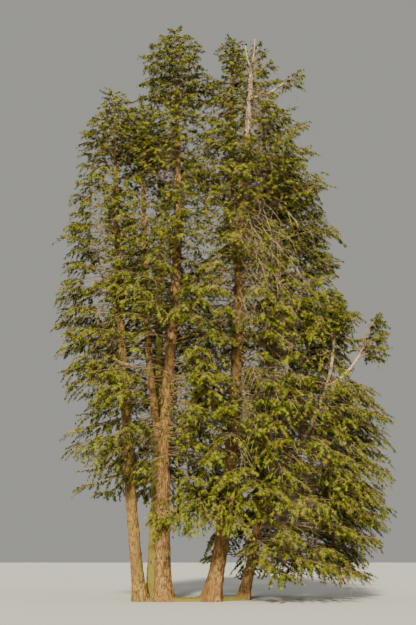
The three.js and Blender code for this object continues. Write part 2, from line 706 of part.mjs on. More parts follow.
// Foliage, each mass clear of the limbs and of the masses before it
const masses = [...TUFTS.map(tuftMass), ...BOUGH_MASSES.map(boughMass), ...CROWNS.flatMap(crownMasses)];
const foliage = new Map();
for (const mass of masses) {
  const solid = new Mass(mass, new Map([...solids, ...foliage])).grow(grown.get(mass.carrier));
  if (!solid) throw new Error(`${mass.name} has no room for its stalk`);
  foliage.set(mass.name, solid);
}

const tree = new THREE.Group();
tree.name = "clump";
for (const [name, solid] of solids) tree.add(meshOf(solid, name, /^bare/.test(name) ? BARE_WOOD : BARK));
for (const [name, solid] of foliage) tree.add(meshOf(solid, name, SPRAYS));

export default tree;
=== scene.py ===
"""A tall conifer of the cypress family that grows as a clump of stems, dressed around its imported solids.

Everything is in metres, with +X to the right, +Y to the back and +Z up. The stems, the limbs and the reach
of the foliage follow the same rule and the same sizes as the solids, carried on here to bark, boughs, twigs
and sprays.
"""

import json
import logging
import math
from dataclasses import dataclass, field, replace
from enum import Enum
from typing import Iterator

import bpy
import numpy as np
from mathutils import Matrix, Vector

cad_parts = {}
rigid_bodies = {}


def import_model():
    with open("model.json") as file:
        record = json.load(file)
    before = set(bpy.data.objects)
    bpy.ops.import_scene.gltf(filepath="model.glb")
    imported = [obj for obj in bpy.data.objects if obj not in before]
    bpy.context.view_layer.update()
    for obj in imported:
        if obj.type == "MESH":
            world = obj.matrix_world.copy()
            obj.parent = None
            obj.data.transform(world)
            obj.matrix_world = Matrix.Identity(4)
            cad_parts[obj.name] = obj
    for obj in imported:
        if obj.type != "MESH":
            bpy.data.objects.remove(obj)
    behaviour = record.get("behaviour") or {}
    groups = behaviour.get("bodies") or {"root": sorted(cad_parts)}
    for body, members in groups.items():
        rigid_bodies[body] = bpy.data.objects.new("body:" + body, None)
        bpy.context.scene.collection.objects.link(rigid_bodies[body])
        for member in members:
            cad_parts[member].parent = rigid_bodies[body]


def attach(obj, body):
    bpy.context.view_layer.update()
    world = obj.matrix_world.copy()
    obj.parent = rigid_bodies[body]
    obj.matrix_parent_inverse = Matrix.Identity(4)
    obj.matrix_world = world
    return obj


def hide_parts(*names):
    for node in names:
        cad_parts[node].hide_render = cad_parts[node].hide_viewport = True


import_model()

Material = bpy.types.Material
Piece = bpy.types.Object
Socket = bpy.types.NodeSocket
Triple = tuple[float, float, float]

LOG = logging.getLogger("clump")
BODY = "root"

# The rule that the solids follow, in metres and degrees
SEED = 20417
HASH_FACTOR = 2654435761
WORD = 0xFFFFFFFF
SPLAY_HEIGHT = 3.7  # the height over which a stem leans out
SWAY_LENGTH = 20.0
SWAY_DEPTH = 0.4  # how much of a stem's sway goes from front to back
FORK_SWING = 2.6  # the height over which a fork swings clear of its stem
TIP_RADIUS = 0.064
FOOT_GROWTH = 1.04  # a stem's radius at the ground, without its flare, as a share of its radius
TAPER = 0.82
FLARE_HEIGHT = 0.42
FLUTES = 5
FLUTE_DEPTH = 0.16
TIER_HEIGHT = 4.2
LOWEST_TIP = 0.26
INNER_REACH = 0.86  # the reach on the side that a crown turns away from, as a share
TIP_SCATTER = 0.13  # how far a tip's reach may differ
TOP_RISE = 0.75  # how steeply a bough climbs at a crown's top
SKIRT_RISE = 0.02  # and at its skirt
SAG = 0.14
MASS_SAG = 0.12
MASS_CLIMB = 0.5  # a mass climbs this share as steeply as the limb that it ends

# What the boughs, twigs and sprays follow, which only the scene has
TOP_STRETCH = 1.35  # how much further the top tier of a crown runs up
MOST_LIVE = 2.1  # the longest green part of a bough
LOWEST_ROOT = 0.6  # no bough leaves a stem under this height
TWIG_RINGS = 3  # what has more rings than a twig is a bough
LOWEST_TWIG = 0.05
RISE_STEP = 0.7548776662  # an even spread over an area steps up by this share of it each time
TURN_STEP = 0.5698402910  # and across by this share
SPIRAL_STEP = 0.381966  # an even spiral goes on by this share of its way round each time
SPIRAL_ANGLE = 137.5  # which is about this angle, of a whole circle
TUFT_KEYS = 90000  # the boughs of tufts are numbered from here
CLOUD_KEYS = 95000  # those of limbs' clouds from here
SHOOT_KEYS = 97000  # and shoots from here
FRONT = 270.0  # the heading of the side that the view is taken from
FRONT_VIEW = np.array([1.7, -35.0, 1.6])  # where that view is taken from

UP = np.array([0.0, 0.0, 1.0])


def draw(*keys: int) -> float:
    """Gives a repeatable number for a list of whole numbers.

    Args:
        *keys: The whole numbers that it hangs on.

    Returns:
        A number from 0 to 1.
    """
    h = SEED
    for key in keys:
        h = ((h ^ (key + 1)) * HASH_FACTOR) & WORD
        h = (h ^ (h >> 15)) & WORD
    return h / (WORD + 1)


def mix(a: float, b: float, t: float) -> float:
    """Returns the value a share t of the way from a to b."""
    return a + (b - a) * t


def unit(v: np.ndarray) -> np.ndarray:
    """Returns each vector of an array at length 1."""
    return v / np.maximum(np.linalg.norm(v, axis=-1, keepdims=True), 1e-9)


def heading_vector(degrees: float) -> np.ndarray:
    """Returns the level direction at a heading, turned from +X towards +Y."""
    return np.array([math.cos(math.radians(degrees)), math.sin(math.radians(degrees)), 0.0])


def level_across(along: np.ndarray) -> np.ndarray:
    """Returns the level directions at right angles to some directions."""
    return unit(np.cross(along, UP) + 1e-6)


def even_shares(count: int) -> list[float]:
    """Returns so many shares, in even steps from 0 to 1."""
    return [i / (count - 1) for i in range(count)]


def even_place(i: int) -> tuple[float, float]:
    """Returns place number i of a spread that fills a square evenly, up and across, from -0.5 to 0.5."""
    return (0.5 + i * RISE_STEP) % 1.0 - 0.5, (0.5 + i * TURN_STEP) % 1.0 - 0.5


class Tint(Enum):
    """The colours that the sprays are dealt out in: olive and russet are the foliage's own colours, while
    the shade, deep and sunlit tints are painted shade and painted sunlight, darker and lighter copies of the
    olive.
    """

    SHADE = 0
    DEEP = 1
    OLIVE = 2
    SUNLIT = 3
    RUSSET = 4


# The shade and deep tints are painted shade and the sunlit tint is painted sunlight, all on the same olive
# foliage; russet is its own colour
SPRAY_COLOURS = {
    Tint.SHADE: (0.012, 0.017, 0.001),
    Tint.DEEP: (0.04, 0.055, 0.002),
    Tint.OLIVE: (0.108, 0.125, 0.004),
    Tint.SUNLIT: (0.172, 0.185, 0.022),
    Tint.RUSSET: (0.17, 0.115, 0.022),
}


@dataclass(frozen=True)
class SprayFinish:
    """Scale-leaved foliage of one tint: soft, slightly waxy, mottled from spray to spray."""

    name: str
    colour: Triple
    mottle: float = 0.35
    patch: float = 1.1
    grain: float = 34.0
    grain_share: float = 0.45
    grain_relief: tuple[float, float] = (0.35, 0.01)
    rough: tuple[float, float] = (0.55, 0.8)
    wax: float = 0.1

    def material(self) -> Material:
        """Returns the finish as a new material."""
        graph = Graph(self.name)
        patches = graph.noise(self.patch, 3.0)
        grain = graph.noise(self.grain, 2.0)
        dark = tuple(c * (1.0 - self.mottle) for c in self.colour)
        light = tuple(min(1.0, c * (1.0 + self.mottle)) for c in self.colour)
        broad = graph.ramp(patches, [(0.3, dark), (0.7, light)])
        fine = graph.ramp(grain, [(0.25, dark), (0.75, light)])
        graph.colour(graph.blend(self.grain_share, broad, fine))
        graph.roughness(grain, *self.rough)
        graph.shader.inputs["Specular IOR Level"].default_value = self.wax
        graph.bump(grain, *self.grain_relief)
        return graph.material


@dataclass(frozen=True)
class BarkFinish:
    """Fibrous bark in long strips: paler ridges, red-brown between them and dark furrows, whose darkness is
    partly the bark's own and partly painted shade in the recesses, with moss where it is damp.
    """

    name: str
    ridge: Triple
    furrow_and_shade: Triple
    blush: Triple
    moss: Triple = (0.17, 0.145, 0.014)
    moss_share: float = 0.0
    strip: Triple = (13.0, 13.0, 4.5)
    fineness: float = 3.5
    fibre_share: float = 0.35
    blush_share: float = 0.5
    strip_relief: tuple[float, float] = (0.9, 0.04)
    fibre_relief: tuple[float, float] = (0.6, 0.01)
    rough: tuple[float, float] = (0.72, 0.95)

    def material(self) -> Material:
        """Returns the finish as a new material."""
        graph = Graph(self.name)
        strips = graph.noise(1.0, 6.0, self.strip, 0.7)
        fibres = graph.noise(1.0, 3.0, tuple(self.fineness * s for s in self.strip), 0.7)
        patches = graph.noise(0.9, 2.0)
        # The furrow colour sits where the relief is lowest: partly darker bark, partly painted shade in the
        # recesses
        wood = graph.ramp(strips, [(0.43, self.furrow_and_shade), (0.49, self.blush), (0.55, self.ridge)])
        fibre = graph.ramp(fibres, [(0.42, self.furrow_and_shade), (0.58, self.ridge)])
        wood = graph.blend(self.fibre_share, wood, fibre)
        wood = graph.blend(graph.mask(patches, 0.42, 0.62, self.blush_share), wood, self.blush)
        if self.moss_share:
            edge = 0.62 - 0.3 * self.moss_share
            growth = graph.noise(2.3, 4.0)
            wood = graph.blend(graph.mask(growth, edge, edge + 0.12, 0.9), wood, self.moss)
        graph.colour(wood)
        graph.roughness(fibres, *self.rough)
        graph.bump(strips, *self.strip_relief)
        graph.bump(fibres, *self.fibre_relief)
        return graph.material


@dataclass(frozen=True)
class FloorFinish:
    """A pale, matt studio floor."""

    name: str = "studio_floor"
    colour: Triple = (0.6, 0.6, 0.58)

    def material(self) -> Material:
        """Returns the finish as a new material."""
        graph = Graph(self.name)
        cloud = graph.noise(0.05, 2.0)
        dark = tuple(0.95 * c for c in self.colour)
        graph.colour(graph.ramp(cloud, [(0.3, dark), (0.7, self.colour)]))
        graph.roughness(cloud, 0.8, 0.95)
        return graph.material


class Graph:
    """A material's node tree, written a step at a time."""

    def __init__(self, name: str) -> None:
        """Starts a material with one shader, whose patterns are read from Object coordinates.

        Args:
            name: The material's name.
        """
        self.material = bpy.data.materials.new(name)
        self.material.use_nodes = True
        self.tree = self.material.node_tree
        self.shader = self.tree.nodes["Principled BSDF"]
        self.place = self.tree.nodes.new("ShaderNodeTexCoord").outputs["Object"]
        self.relief = None

    def noise(
        self, scale: float, detail: float, stretch: Triple | None = None, rough: float = 0.5
    ) -> Socket:
        """Adds a noise pattern.

        Args:
            scale: How many times it repeats in a metre.
            detail: How many finer layers it has.
            stretch: Its scale along each axis, where that differs.
            rough: How strong the finer layers are.

        Returns:
            The pattern's value.
        """
        node = self.tree.nodes.new("ShaderNodeTexNoise")
        node.inputs["Scale"].default_value = scale
        node.inputs["Detail"].default_value = detail
        node.inputs["Roughness"].default_value = rough
        place = self.place
        if stretch:
            mapping = self.tree.nodes.new("ShaderNodeMapping")
            mapping.inputs["Scale"].default_value = stretch
            self.tree.links.new(place, mapping.inputs["Vector"])
            place = mapping.outputs["Vector"]
        self.tree.links.new(place, node.inputs["Vector"])
        return node.outputs["Fac"]

    def ramp(self, value: Socket, stops: list[tuple[float, Triple]]) -> Socket:
        """Turns a value into a colour.

        Args:
            value: The value, from 0 to 1.
            stops: The places along it and the colour at each.

        Returns:
            The colour.
        """
        node = self.tree.nodes.new("ShaderNodeValToRGB")
        elements = node.color_ramp.elements
        while len(elements) < len(stops):
            elements.new(0.5)
        for element, (place, colour) in zip(elements, stops):
            element.position = place
            element.color = (*colour, 1.0)
        self.tree.links.new(value, node.inputs["Fac"])
        return node.outputs["Color"]

    def mask(self, value: Socket, low: float, high: float, strength: float) -> Socket:
        """Makes a mask of a pattern.

        Args:
            value: The pattern.
            low: Its value where the mask starts to rise from 0.
            high: Its value from which the mask is full.
            strength: The full mask's value.

        Returns:
            The mask's value.
        """
        full = self.ramp(value, [(low, (0, 0, 0)), (high, (1, 1, 1))])
        node = self.tree.nodes.new("ShaderNodeMath")
        node.operation = "MULTIPLY"
        self.tree.links.new(full, node.inputs[0])
        node.inputs[1].default_value = strength
        return node.outputs["Value"]

    def blend(self, share: Socket | float, first: Socket, second: Socket | Triple) -> Socket:
        """Blends two colours.

        Args:
            share: How much of the second shows, a number or a socket.
            first: The first colour.
            second: The second colour, plain or a socket.

        Returns:
            The blended colour.
        """
        node = self.tree.nodes.new("ShaderNodeMix")
        node.data_type = "RGBA"
        for socket, value in zip((node.inputs[0], node.inputs[6], node.inputs[7]), (share, first, second)):
            if isinstance(value, Socket):
                self.tree.links.new(value, socket)
            else:
                socket.default_value = (*value, 1.0) if isinstance(value, tuple) else value
        return node.outputs[2]

    def colour(self, colour: Socket) -> None:
        """Sets the shader's base colour."""
        self.tree.links.new(colour, self.shader.inputs["Base Color"])

    def roughness(self, value: Socket, low: float, high: float) -> None:
        """Sets the shader's roughness from a pattern.

        Args:
            value: The pattern.
            low: The roughness where it is 0.
            high: The roughness where it is 1.
        """
        node = self.tree.nodes.new("ShaderNodeMapRange")
        node.inputs["To Min"].default_value = low
        node.inputs["To Max"].default_value = high
        self.tree.links.new(value, node.inputs["Value"])
        self.tree.links.new(node.outputs["Result"], self.shader.inputs["Roughness"])

    def bump(self, value: Socket, strength: float, distance: float) -> None:
        """Adds relief from a pattern, over any that is there already.

        Args:
            value: The pattern.
            strength: How strongly it shows.
            distance: How far it rises.
        """
        node = self.tree.nodes.new("ShaderNodeBump")
        node.inputs["Strength"].default_value = strength
        node.inputs["Distance"].default_value = distance
        self.tree.links.new(value, node.inputs["Height"])
        if self.relief is not None:
            self.tree.links.new(self.relief, node.inputs["Normal"])
        self.relief = node.outputs["Normal"]
        self.tree.links.new(self.relief, self.shader.inputs["Normal"])


@dataclass(frozen=True)
class Stem:
    """The line of a stem or of a fork: its centre and radius at each height."""

    name: str
    top: tuple[float, float]
    height: float
    radius: float
    splay: tuple[float, float]
    foot: tuple[float, float] = (0.0, 0.0)
    sway: float = 0.0
    flare: float = 0.0
    parent: "Stem | None" = None
    base: float = 0.0

    def start(self) -> tuple[float, float]:
        """Returns where the line starts: at the ground, or in the stem that a fork leaves."""
        if self.parent is None:
            return self.foot
        centre = self.parent.centre(self.base)
        return float(centre[0]), float(centre[1])

    def centre(self, z: float) -> np.ndarray:
        """Finds the line's centre.

        Args:
            z: The height.

        Returns:
            The centre at that height.
        """
        t = (z - self.base) / (self.height - self.base)
        early = 1.0 - math.exp(-(z - self.base) / (FORK_SWING if self.parent else SPLAY_HEIGHT))
        sway = 0.0 if self.parent else self.sway * math.sin(2 * math.pi * z / SWAY_LENGTH)
        lines = zip(self.start(), self.splay, self.top)
        x, y = (foot + splay * early + (top - foot - splay) * t for foot, splay, top in lines)
        return np.array([x + sway, y - sway * SWAY_DEPTH, z])

    def radius_at(self, z: float) -> float:
        """Returns the mean radius at a height."""
        full = (z - self.base) / (self.height - self.base)
        share = (1.0 - min(1.0, max(0.0, full))) ** TAPER
        return mix(TIP_RADIUS, self.radius * FOOT_GROWTH, share) + self.flare * math.exp(-z / FLARE_HEIGHT)

    def tip_direction(self) -> np.ndarray:
        """Returns the direction of growth at the tip."""
        return unit(self.centre(self.height) - self.centre(self.height - 0.4))


@dataclass(frozen=True)
class Limb:
    """The line of a tapering limb with one bend."""

    name: str
    start: np.ndarray
    elbow: np.ndarray
    end: np.ndarray
    radius: float
    tip_radius: float

    def point(self, t: float) -> np.ndarray:
        """Returns the centre a share t of the way along."""
        return (1 - t) ** 2 * self.start + 2 * t * (1 - t) * self.elbow + t * t * self.end

    def radius_at(self, t: float) -> float:
        """Returns the radius a share t of the way along."""
        return mix(self.radius, self.tip_radius, t)

    def tip_direction(self) -> np.ndarray:
        """Returns the direction of growth at the tip."""
        return unit(self.end - self.elbow)


# Each stem's name, the X and Y of its tip, its height, radius, early lean and foot, its sway and its flare
MAIN = Stem("main_stem", (0.36, 0.06), 21.9, 0.292, (-0.02, -0.04), (0.0, 0.0), -0.16, 0.19)
LEFT = Stem("left_stem", (-2.4, 0.13), 18.9, 0.225, (-0.47, 0.03), (-0.87, -0.04), 0.06, 0.135)
BACK = Stem("back_stem", (-0.3, 2.25), 17.5, 0.225, (-0.16, 0.52), (-0.5, 1.0), 0.09, 0.13)
RIGHT = Stem("right_stem", (3.62, 0.13), 22.9, 0.285, (0.62, 0.04), (1.8, 0.06), 0.06, 0.2)
FAR_RIGHT = Stem("far_right_stem", (4.9, 1.15), 15.6, 0.185, (0.64, 0.24), (3.08, 1.18), 0.08, 0.12)
LEFT_FORK = Stem("left_fork", (-1.2, 0.6), 18.0, 0.15, (-0.64, 0.16), parent=MAIN, base=5.5)
RIGHT_FORK = Stem("right_fork", (2.78, 0.5), 21.6, 0.118, (-0.26, 0.33), parent=RIGHT, base=12.5)
STEMS = (MAIN, LEFT, BACK, RIGHT, FAR_RIGHT, LEFT_FORK, RIGHT_FORK)


def limb_from(
    name: str, start: np.ndarray, heading: float, out: float, up: float,
    elbow: tuple[float, float], radius: float, tip: float,
) -> Limb:
    """Places a limb on what carries it.

    Args:
        name: The limb's name, which is its solid's.
        start: The point of its carrier that it leaves.
        heading: The way it goes, in degrees from +X towards +Y.
        out: How far out its tip lies.
        up: How far up its tip lies.
        elbow: Where it bends, as shares of out and up.
        radius: Its radius at the start.
        tip: Its radius at the tip.

    Returns:
        The limb.
    """
    level = heading_vector(heading)
    bend = start + level * out * elbow[0] + UP * up * elbow[1]
    return Limb(name, start, bend, start + level * out + UP * up, radius, tip)


LOW_LIMB = limb_from("low_limb", FAR_RIGHT.centre(4.8), -12, 2.52, 3.25, (0.62, 0.2), 0.095, 0.066)
UPRIGHT_LIMB = limb_from("upright_limb", LOW_LIMB.end, -8, 0.6, 2.75, (0.85, 0.4), 0.064, 0.044)
OUTER_LIMB = limb_from("outer_limb", UPRIGHT_LIMB.point(0.2), -4, 1.55, 1.5, (0.55, 0.2), 0.054, 0.04)
CROSSING_LIMB = limb_from("crossing_limb", LEFT_FORK.centre(9.15), 217, 2.35, 0.42, (0.5, -0.3), 0.062, 0.03)
TOP_RIGHT_LIMB = limb_from("top_right_limb", RIGHT.centre(21.62), -6, 1.55, 0.65, (0.6, 0.1), 0.05, 0.038)
FRONT_LIMB = limb_from("front_limb", RIGHT.centre(3.25), 249, 1.9, 0.62, (0.5, 1.2), 0.066, 0.046)
LIMBS = (LOW_LIMB, UPRIGHT_LIMB, OUTER_LIMB, CROSSING_LIMB, TOP_RIGHT_LIMB, FRONT_LIMB)


@dataclass(frozen=True)
class Relief:
    """A layer of relief: how far it runs along each axis before it changes, its depth and its kind."""

    size: Triple
    depth: float
    ridged: bool = True


class Modeller:
    """Blender's own modelling tools, used one step at a time on one piece."""

    @staticmethod
    def clear() -> None:
        """Deselects everything."""
        bpy.ops.object.select_all(action="DESELECT")

    @staticmethod
    def pick(piece: Piece, *others: Piece) -> None:
        """Selects some pieces.

        Args:
            piece: The one that is made active.
            *others: Any others that are selected with it.
        """
        Modeller.clear()
        for each in (piece, *others):
            each.select_set(True)
        bpy.context.view_layer.objects.active = piece

    @staticmethod
    def loft(
        name: str, centres: list[np.ndarray], radii: list[float], sides: int, facing: np.ndarray
    ) -> Piece:
        """Extrudes a disc along a line, one ring at a time.

        Args:
            name: The piece's name.
            centres: The centre of each ring.
            radii: The radius of each ring.
            sides: How many sides a ring has.
            facing: The direction that every ring faces.

        Returns:
            The closed piece, still in Object mode.
        """
        Modeller.clear()
        turn = Vector(facing).to_track_quat("Z", "Y").to_euler()
        bpy.ops.mesh.primitive_circle_add(
            vertices=sides, radius=radii[0], fill_type="NGON", location=centres[0].tolist(), rotation=turn
        )
        piece = bpy.context.active_object
        piece.name = name
        bpy.ops.object.mode_set(mode="EDIT")
        bpy.ops.mesh.select_all(action="SELECT")
        for i in range(1, len(centres)):
            step = (centres[i] - centres[i - 1]).tolist()
            bpy.ops.mesh.extrude_region_move(TRANSFORM_OT_translate={"value": step})
            grow = radii[i] / radii[i - 1]
            bpy.ops.transform.resize(value=(grow, grow, grow), center_override=centres[i].tolist())
        bpy.ops.mesh.select_all(action="SELECT")
        bpy.ops.mesh.normals_make_consistent(inside=False)
        bpy.ops.object.mode_set(mode="OBJECT")
        bpy.ops.object.transform_apply(location=True, rotation=True, scale=True)
        return piece

    @staticmethod
    def apply(piece: Piece, modifier: bpy.types.Modifier) -> None:
        """Applies a modifier to its piece."""
        Modeller.pick(piece)
        bpy.ops.object.modifier_apply(modifier=modifier.name)

    @staticmethod
    def subdivide(piece: Piece, levels: int) -> None:
        """Divides every face of a piece, without rounding its flat foot.

        Args:
            piece: The piece.
            levels: How many times each face is divided in four.
        """
        modifier = piece.modifiers.new("finer", "SUBSURF")
        modifier.subdivision_type = "SIMPLE"
        modifier.levels = levels
        modifier.render_levels = levels
        Modeller.apply(piece, modifier)

    @staticmethod
    def relief(piece: Piece, relief: Relief) -> None:
        """Raises a piece's surface.

        Args:
            piece: The piece.
            relief: The layer of relief that it gets.
        """
        texture = bpy.data.textures.new("bark_relief", "MUSGRAVE" if relief.ridged else "CLOUDS")
        texture.noise_scale = 1.0
        if relief.ridged:
            texture.musgrave_type = "RIDGED_MULTIFRACTAL"
            texture.octaves = 3.0
        Modeller.clear()
        bpy.ops.object.empty_add(type="PLAIN_AXES")
        ruler = bpy.context.active_object
        ruler.scale = relief.size
        bpy.context.view_layer.update()
        modifier = piece.modifiers.new("relief", "DISPLACE")
        modifier.texture = texture
        modifier.texture_coords = "OBJECT"
        modifier.texture_coords_object = ruler
        modifier.mid_level = 0.5
        modifier.strength = relief.depth
        Modeller.apply(piece, modifier)
        bpy.data.objects.remove(ruler)
        bpy.data.textures.remove(texture)

    @staticmethod
    def smooth(piece: Piece, degrees: float) -> None:
        """Shades a piece smooth wherever it bends by less than an angle."""
        Modeller.pick(piece)
        bpy.ops.object.shade_smooth_by_angle(angle=math.radians(degrees))


def dress(piece: Piece, materials: list[Material], slot: str, *nodes: str) -> None:
    """Gives a piece its finishes, its body and the solids that it stands for, and reports it.

    Args:
        piece: The piece.
        materials: Its finishes.
        slot: Not used.
        *nodes: The solids that it replaces.
    """
    for material in materials:
        piece.data.materials.append(material)
    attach(piece, BODY)
    if nodes:
        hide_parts(*nodes)
    triangles = sum(len(p.vertices) - 2 for p in piece.data.polygons)
    LOG.info("%s: %d triangles, for %d solids", piece.name, triangles, len(nodes))


# Each bark's colours: its ridges, its furrows, whose dark is partly painted shade, and what is between them
BARKS = (
    BarkFinish("tan_bark", (0.37, 0.22, 0.066), (0.02, 0.009, 0.003), (0.15, 0.067, 0.018)),
    BarkFinish(
        "grey_bark", (0.34, 0.21, 0.048), (0.024, 0.012, 0.004), (0.16, 0.088, 0.024), moss_share=0.15
    ),
    BarkFinish("mossy_bark", (0.26, 0.19, 0.06), (0.05, 0.03, 0.01), (0.15, 0.09, 0.03), moss_share=0.9),
    BarkFinish("pale_bough_bark", (0.64, 0.52, 0.33), (0.15, 0.09, 0.045), (0.44, 0.32, 0.17)),
    BarkFinish("weathered_wood", (0.62, 0.5, 0.34), (0.34, 0.25, 0.15), (0.52, 0.4, 0.26)),
)
TWIG_STRIP = (14.0, 14.0, 6.0)
TWIG_BARKS = (
    BarkFinish("twig_bark", (0.38, 0.28, 0.15), (0.14, 0.09, 0.04), (0.26, 0.17, 0.08), strip=TWIG_STRIP),
    BarkFinish(
        "bare_twig_wood", (0.54, 0.43, 0.27), (0.24, 0.165, 0.085), (0.4, 0.3, 0.17), strip=TWIG_STRIP
    ),
)


@dataclass
class BarkedStems:
    """The stems, their forks, the limbs that show and the root ridges, all with bark that stands out."""

    sides: int = 16
    rings: int = 38
    crowding: float = 1.25
    limb_sides: int = 12
    limb_rings: int = 12
    lumps: Relief = Relief((0.3, 0.3, 0.9), 0.05, False)
    strips: Relief = Relief((0.05, 0.05, 0.4), 0.03)
    limb_strips: Relief = Relief((0.05, 0.05, 0.2), 0.012)
    leader_strips: Relief = Relief((0.03, 0.03, 0.25), 0.01)
    root_lumps: Relief = Relief((0.5, 0.5, 0.5), 0.06, False)
    root_grain: Relief = Relief((0.09, 0.09, 0.09), 0.012)
    collar: float = 0.15
    collar_top: float = 0.06
    collar_radius: float = 0.046
    tines: tuple[Triple, Triple] = ((-0.25, -0.15, 1.15), (0.19, -0.12, 1.52))
    tine_radii: tuple[float, float] = (0.037, 0.013)
    tine_sides: int = 10
    tine_rings: int = 10
    root_width: float = 0.38
    root_height: float = 0.23
    root_waist: float = 0.6
    root_sides: int = 20
    root_rings: int = 9
    fineness: int = 2
    crease: float = 50.0
    bare_from: float = 19.6

    def finish(
        self, piece: Piece, relief: tuple[Relief, ...], materials: list[Material], slot: str, *nodes: str
    ) -> None:
        """Raises a piece's bark and dresses the piece.

        Args:
            piece: The piece, as it was lofted.
            relief: The layers of its bark's relief.
            materials: Its finishes.
            slot: Not used.
            *nodes: The solids that it replaces.
        """
        Modeller.subdivide(piece, self.fineness)
        for layer in relief:
            Modeller.relief(piece, layer)
        for vertex in piece.data.vertices:
            vertex.co.z = max(0.0, vertex.co.z)
        Modeller.smooth(piece, self.crease)
        dress(piece, materials, slot, *nodes)

    def stem(self, line: Stem, *materials: Material) -> None:
        """Models one stem or fork and gives it its bark.

        Args:
            line: The stem or fork.
            *materials: Its bark, and the finish of its upper part where that has lost its bark.
        """
        heights = [mix(line.base, line.height, t**self.crowding) for t in even_shares(self.rings)]
        centres = [line.centre(z) for z in heights]
        radii = [line.radius_at(z) for z in heights]
        piece = Modeller.loft(f"{line.name}_bark", centres, radii, self.sides, UP)
        if line.parent is None:
            self.flute(piece, line)
        lumps = replace(self.lumps, depth=self.lumps.depth * line.radius / MAIN.radius)
        self.finish(piece, (lumps, self.strips), list(materials), "bark", line.name)
        if len(materials) > 1:
            for face in piece.data.polygons:
                face.material_index = int(face.center.z > self.bare_from)

    def flute(self, piece: Piece, line: Stem) -> None:
        """Draws a stem's foot out into the flutes that run down into its roots.

        Args:
            piece: The stem's piece.
            line: The stem.
        """
        phase = draw(len(line.name), 7) * math.pi
        for vertex in piece.data.vertices:
            centre = line.centre(vertex.co.z)
            dx, dy = vertex.co.x - centre[0], vertex.co.y - centre[1]
            angle = math.atan2(-dy, dx)
            fade = math.exp(-vertex.co.z / (2 * FLARE_HEIGHT))
            share = 1 + FLUTE_DEPTH * math.cos(FLUTES * angle + phase) * fade
            vertex.co.x = centre[0] + dx * share
            vertex.co.y = centre[1] + dy * share

    def limb(self, line: Limb, name: str, rings: int, sides: int, facing: np.ndarray) -> Piece:
        """Models one limb or tine.

        Args:
            line: Its line.
            name: The piece's name.
            rings: How many rings it has.
            sides: How many sides a ring has.
            facing: The direction that every ring faces.

        Returns:
            The piece, as yet without its bark.
        """
        shares = even_shares(rings)
        centres, radii = [line.point(t) for t in shares], [line.radius_at(t) for t in shares]
        return Modeller.loft(name, centres, radii, sides, facing)

    def leader(self, material: Material) -> None:
        """Models the bare, forked leader on the right stem's tip: a short collar and two tines, joined.

        Args:
            material: Its finish.
        """
        foot = RIGHT.centre(RIGHT.height)
        fork = foot + UP * self.collar
        rings = [foot, fork, fork + UP * self.collar_top]
        piece = Modeller.loft("bare_leader_wood", rings, [self.collar_radius] * 3, self.tine_sides, UP)
        tines = []
        for x, y, rise in self.tines:
            bend = fork + np.array([x * 0.8, y * 0.8, rise * 0.4])
            tine = Limb("tine", fork, bend, fork + np.array([x, y, rise]), *self.tine_radii)
            tines.append(self.limb(tine, tine.name, self.tine_rings, self.tine_sides, UP))
        Modeller.pick(piece, *tines)
        bpy.ops.object.join()
        self.finish(piece, (self.leader_strips,), [material], "bare_wood", "bare_leader")

    def root(self, first: Stem, second: Stem, material: Material) -> None:
        """Models the low ridge of root that joins two stems, cut flat at the ground.

        Args:
            first: The stem that it starts in.
            second: The stem that it ends in.
            material: Its bark.
        """
        start, end = first.centre(0.0), second.centre(0.0)
        shares = even_shares(self.root_rings)
        centres = [start + (end - start) * t for t in shares]
        radii = [self.root_width * mix(self.root_waist, 1.0, (2 * t - 1) ** 2) for t in shares]
        name = f"{first.name}_to_{second.name}_root"
        piece = Modeller.loft(name, centres, radii, self.root_sides, unit(end - start))
        Modeller.pick(piece)
        bpy.ops.object.mode_set(mode="EDIT")
        bpy.ops.mesh.select_all(action="SELECT")
        flat = self.root_height / self.root_width
        bpy.ops.transform.resize(value=(1.0, 1.0, flat), center_override=(0.0, 0.0, 0.0))
        bpy.ops.mesh.bisect(plane_co=(0, 0, 0), plane_no=(0, 0, 1), clear_inner=True, use_fill=True)
        bpy.ops.object.mode_set(mode="OBJECT")
        self.finish(piece, (self.root_lumps, self.root_grain), [material], "bark")

    def build(self) -> None:
        """Models every stem, fork, limb and root ridge."""
        tan, grey, mossy, pale, weathered = (finish.material() for finish in BARKS)
        choice = {"left_stem": [grey], "back_stem": [mossy], "right_stem": [tan, weathered]}
        for line in STEMS:
            self.stem(line, *choice.get(line.name, [tan]))
        for line in LIMBS:
            facing = unit(line.end - line.start)
            piece = self.limb(line, f"{line.name}_bark", self.limb_rings, self.limb_sides, facing)
            self.finish(piece, (self.limb_strips,), [pale], "bark", line.name)
        self.leader(weathered)
        for first, second in ((MAIN, LEFT), (MAIN, BACK), (MAIN, RIGHT), (RIGHT, FAR_RIGHT)):
            self.root(first, second, mossy)


@dataclass(frozen=True)
class Bough:
    """One bough: its line from the wood that carries it to its tip, and how leafy it is."""

    root: np.ndarray
    tip: np.ndarray
    key: int
    arch: float
    live: float  # the share of it that is bare, from its root on
    lush: float = 1.0  # how many sprays it has, or 0 where it is dead
    thick: float = 1.0
    hang: float = 1.0  # how far its sprays droop
    dead: float = 0.6  # how thickly bare twigs hang near its root


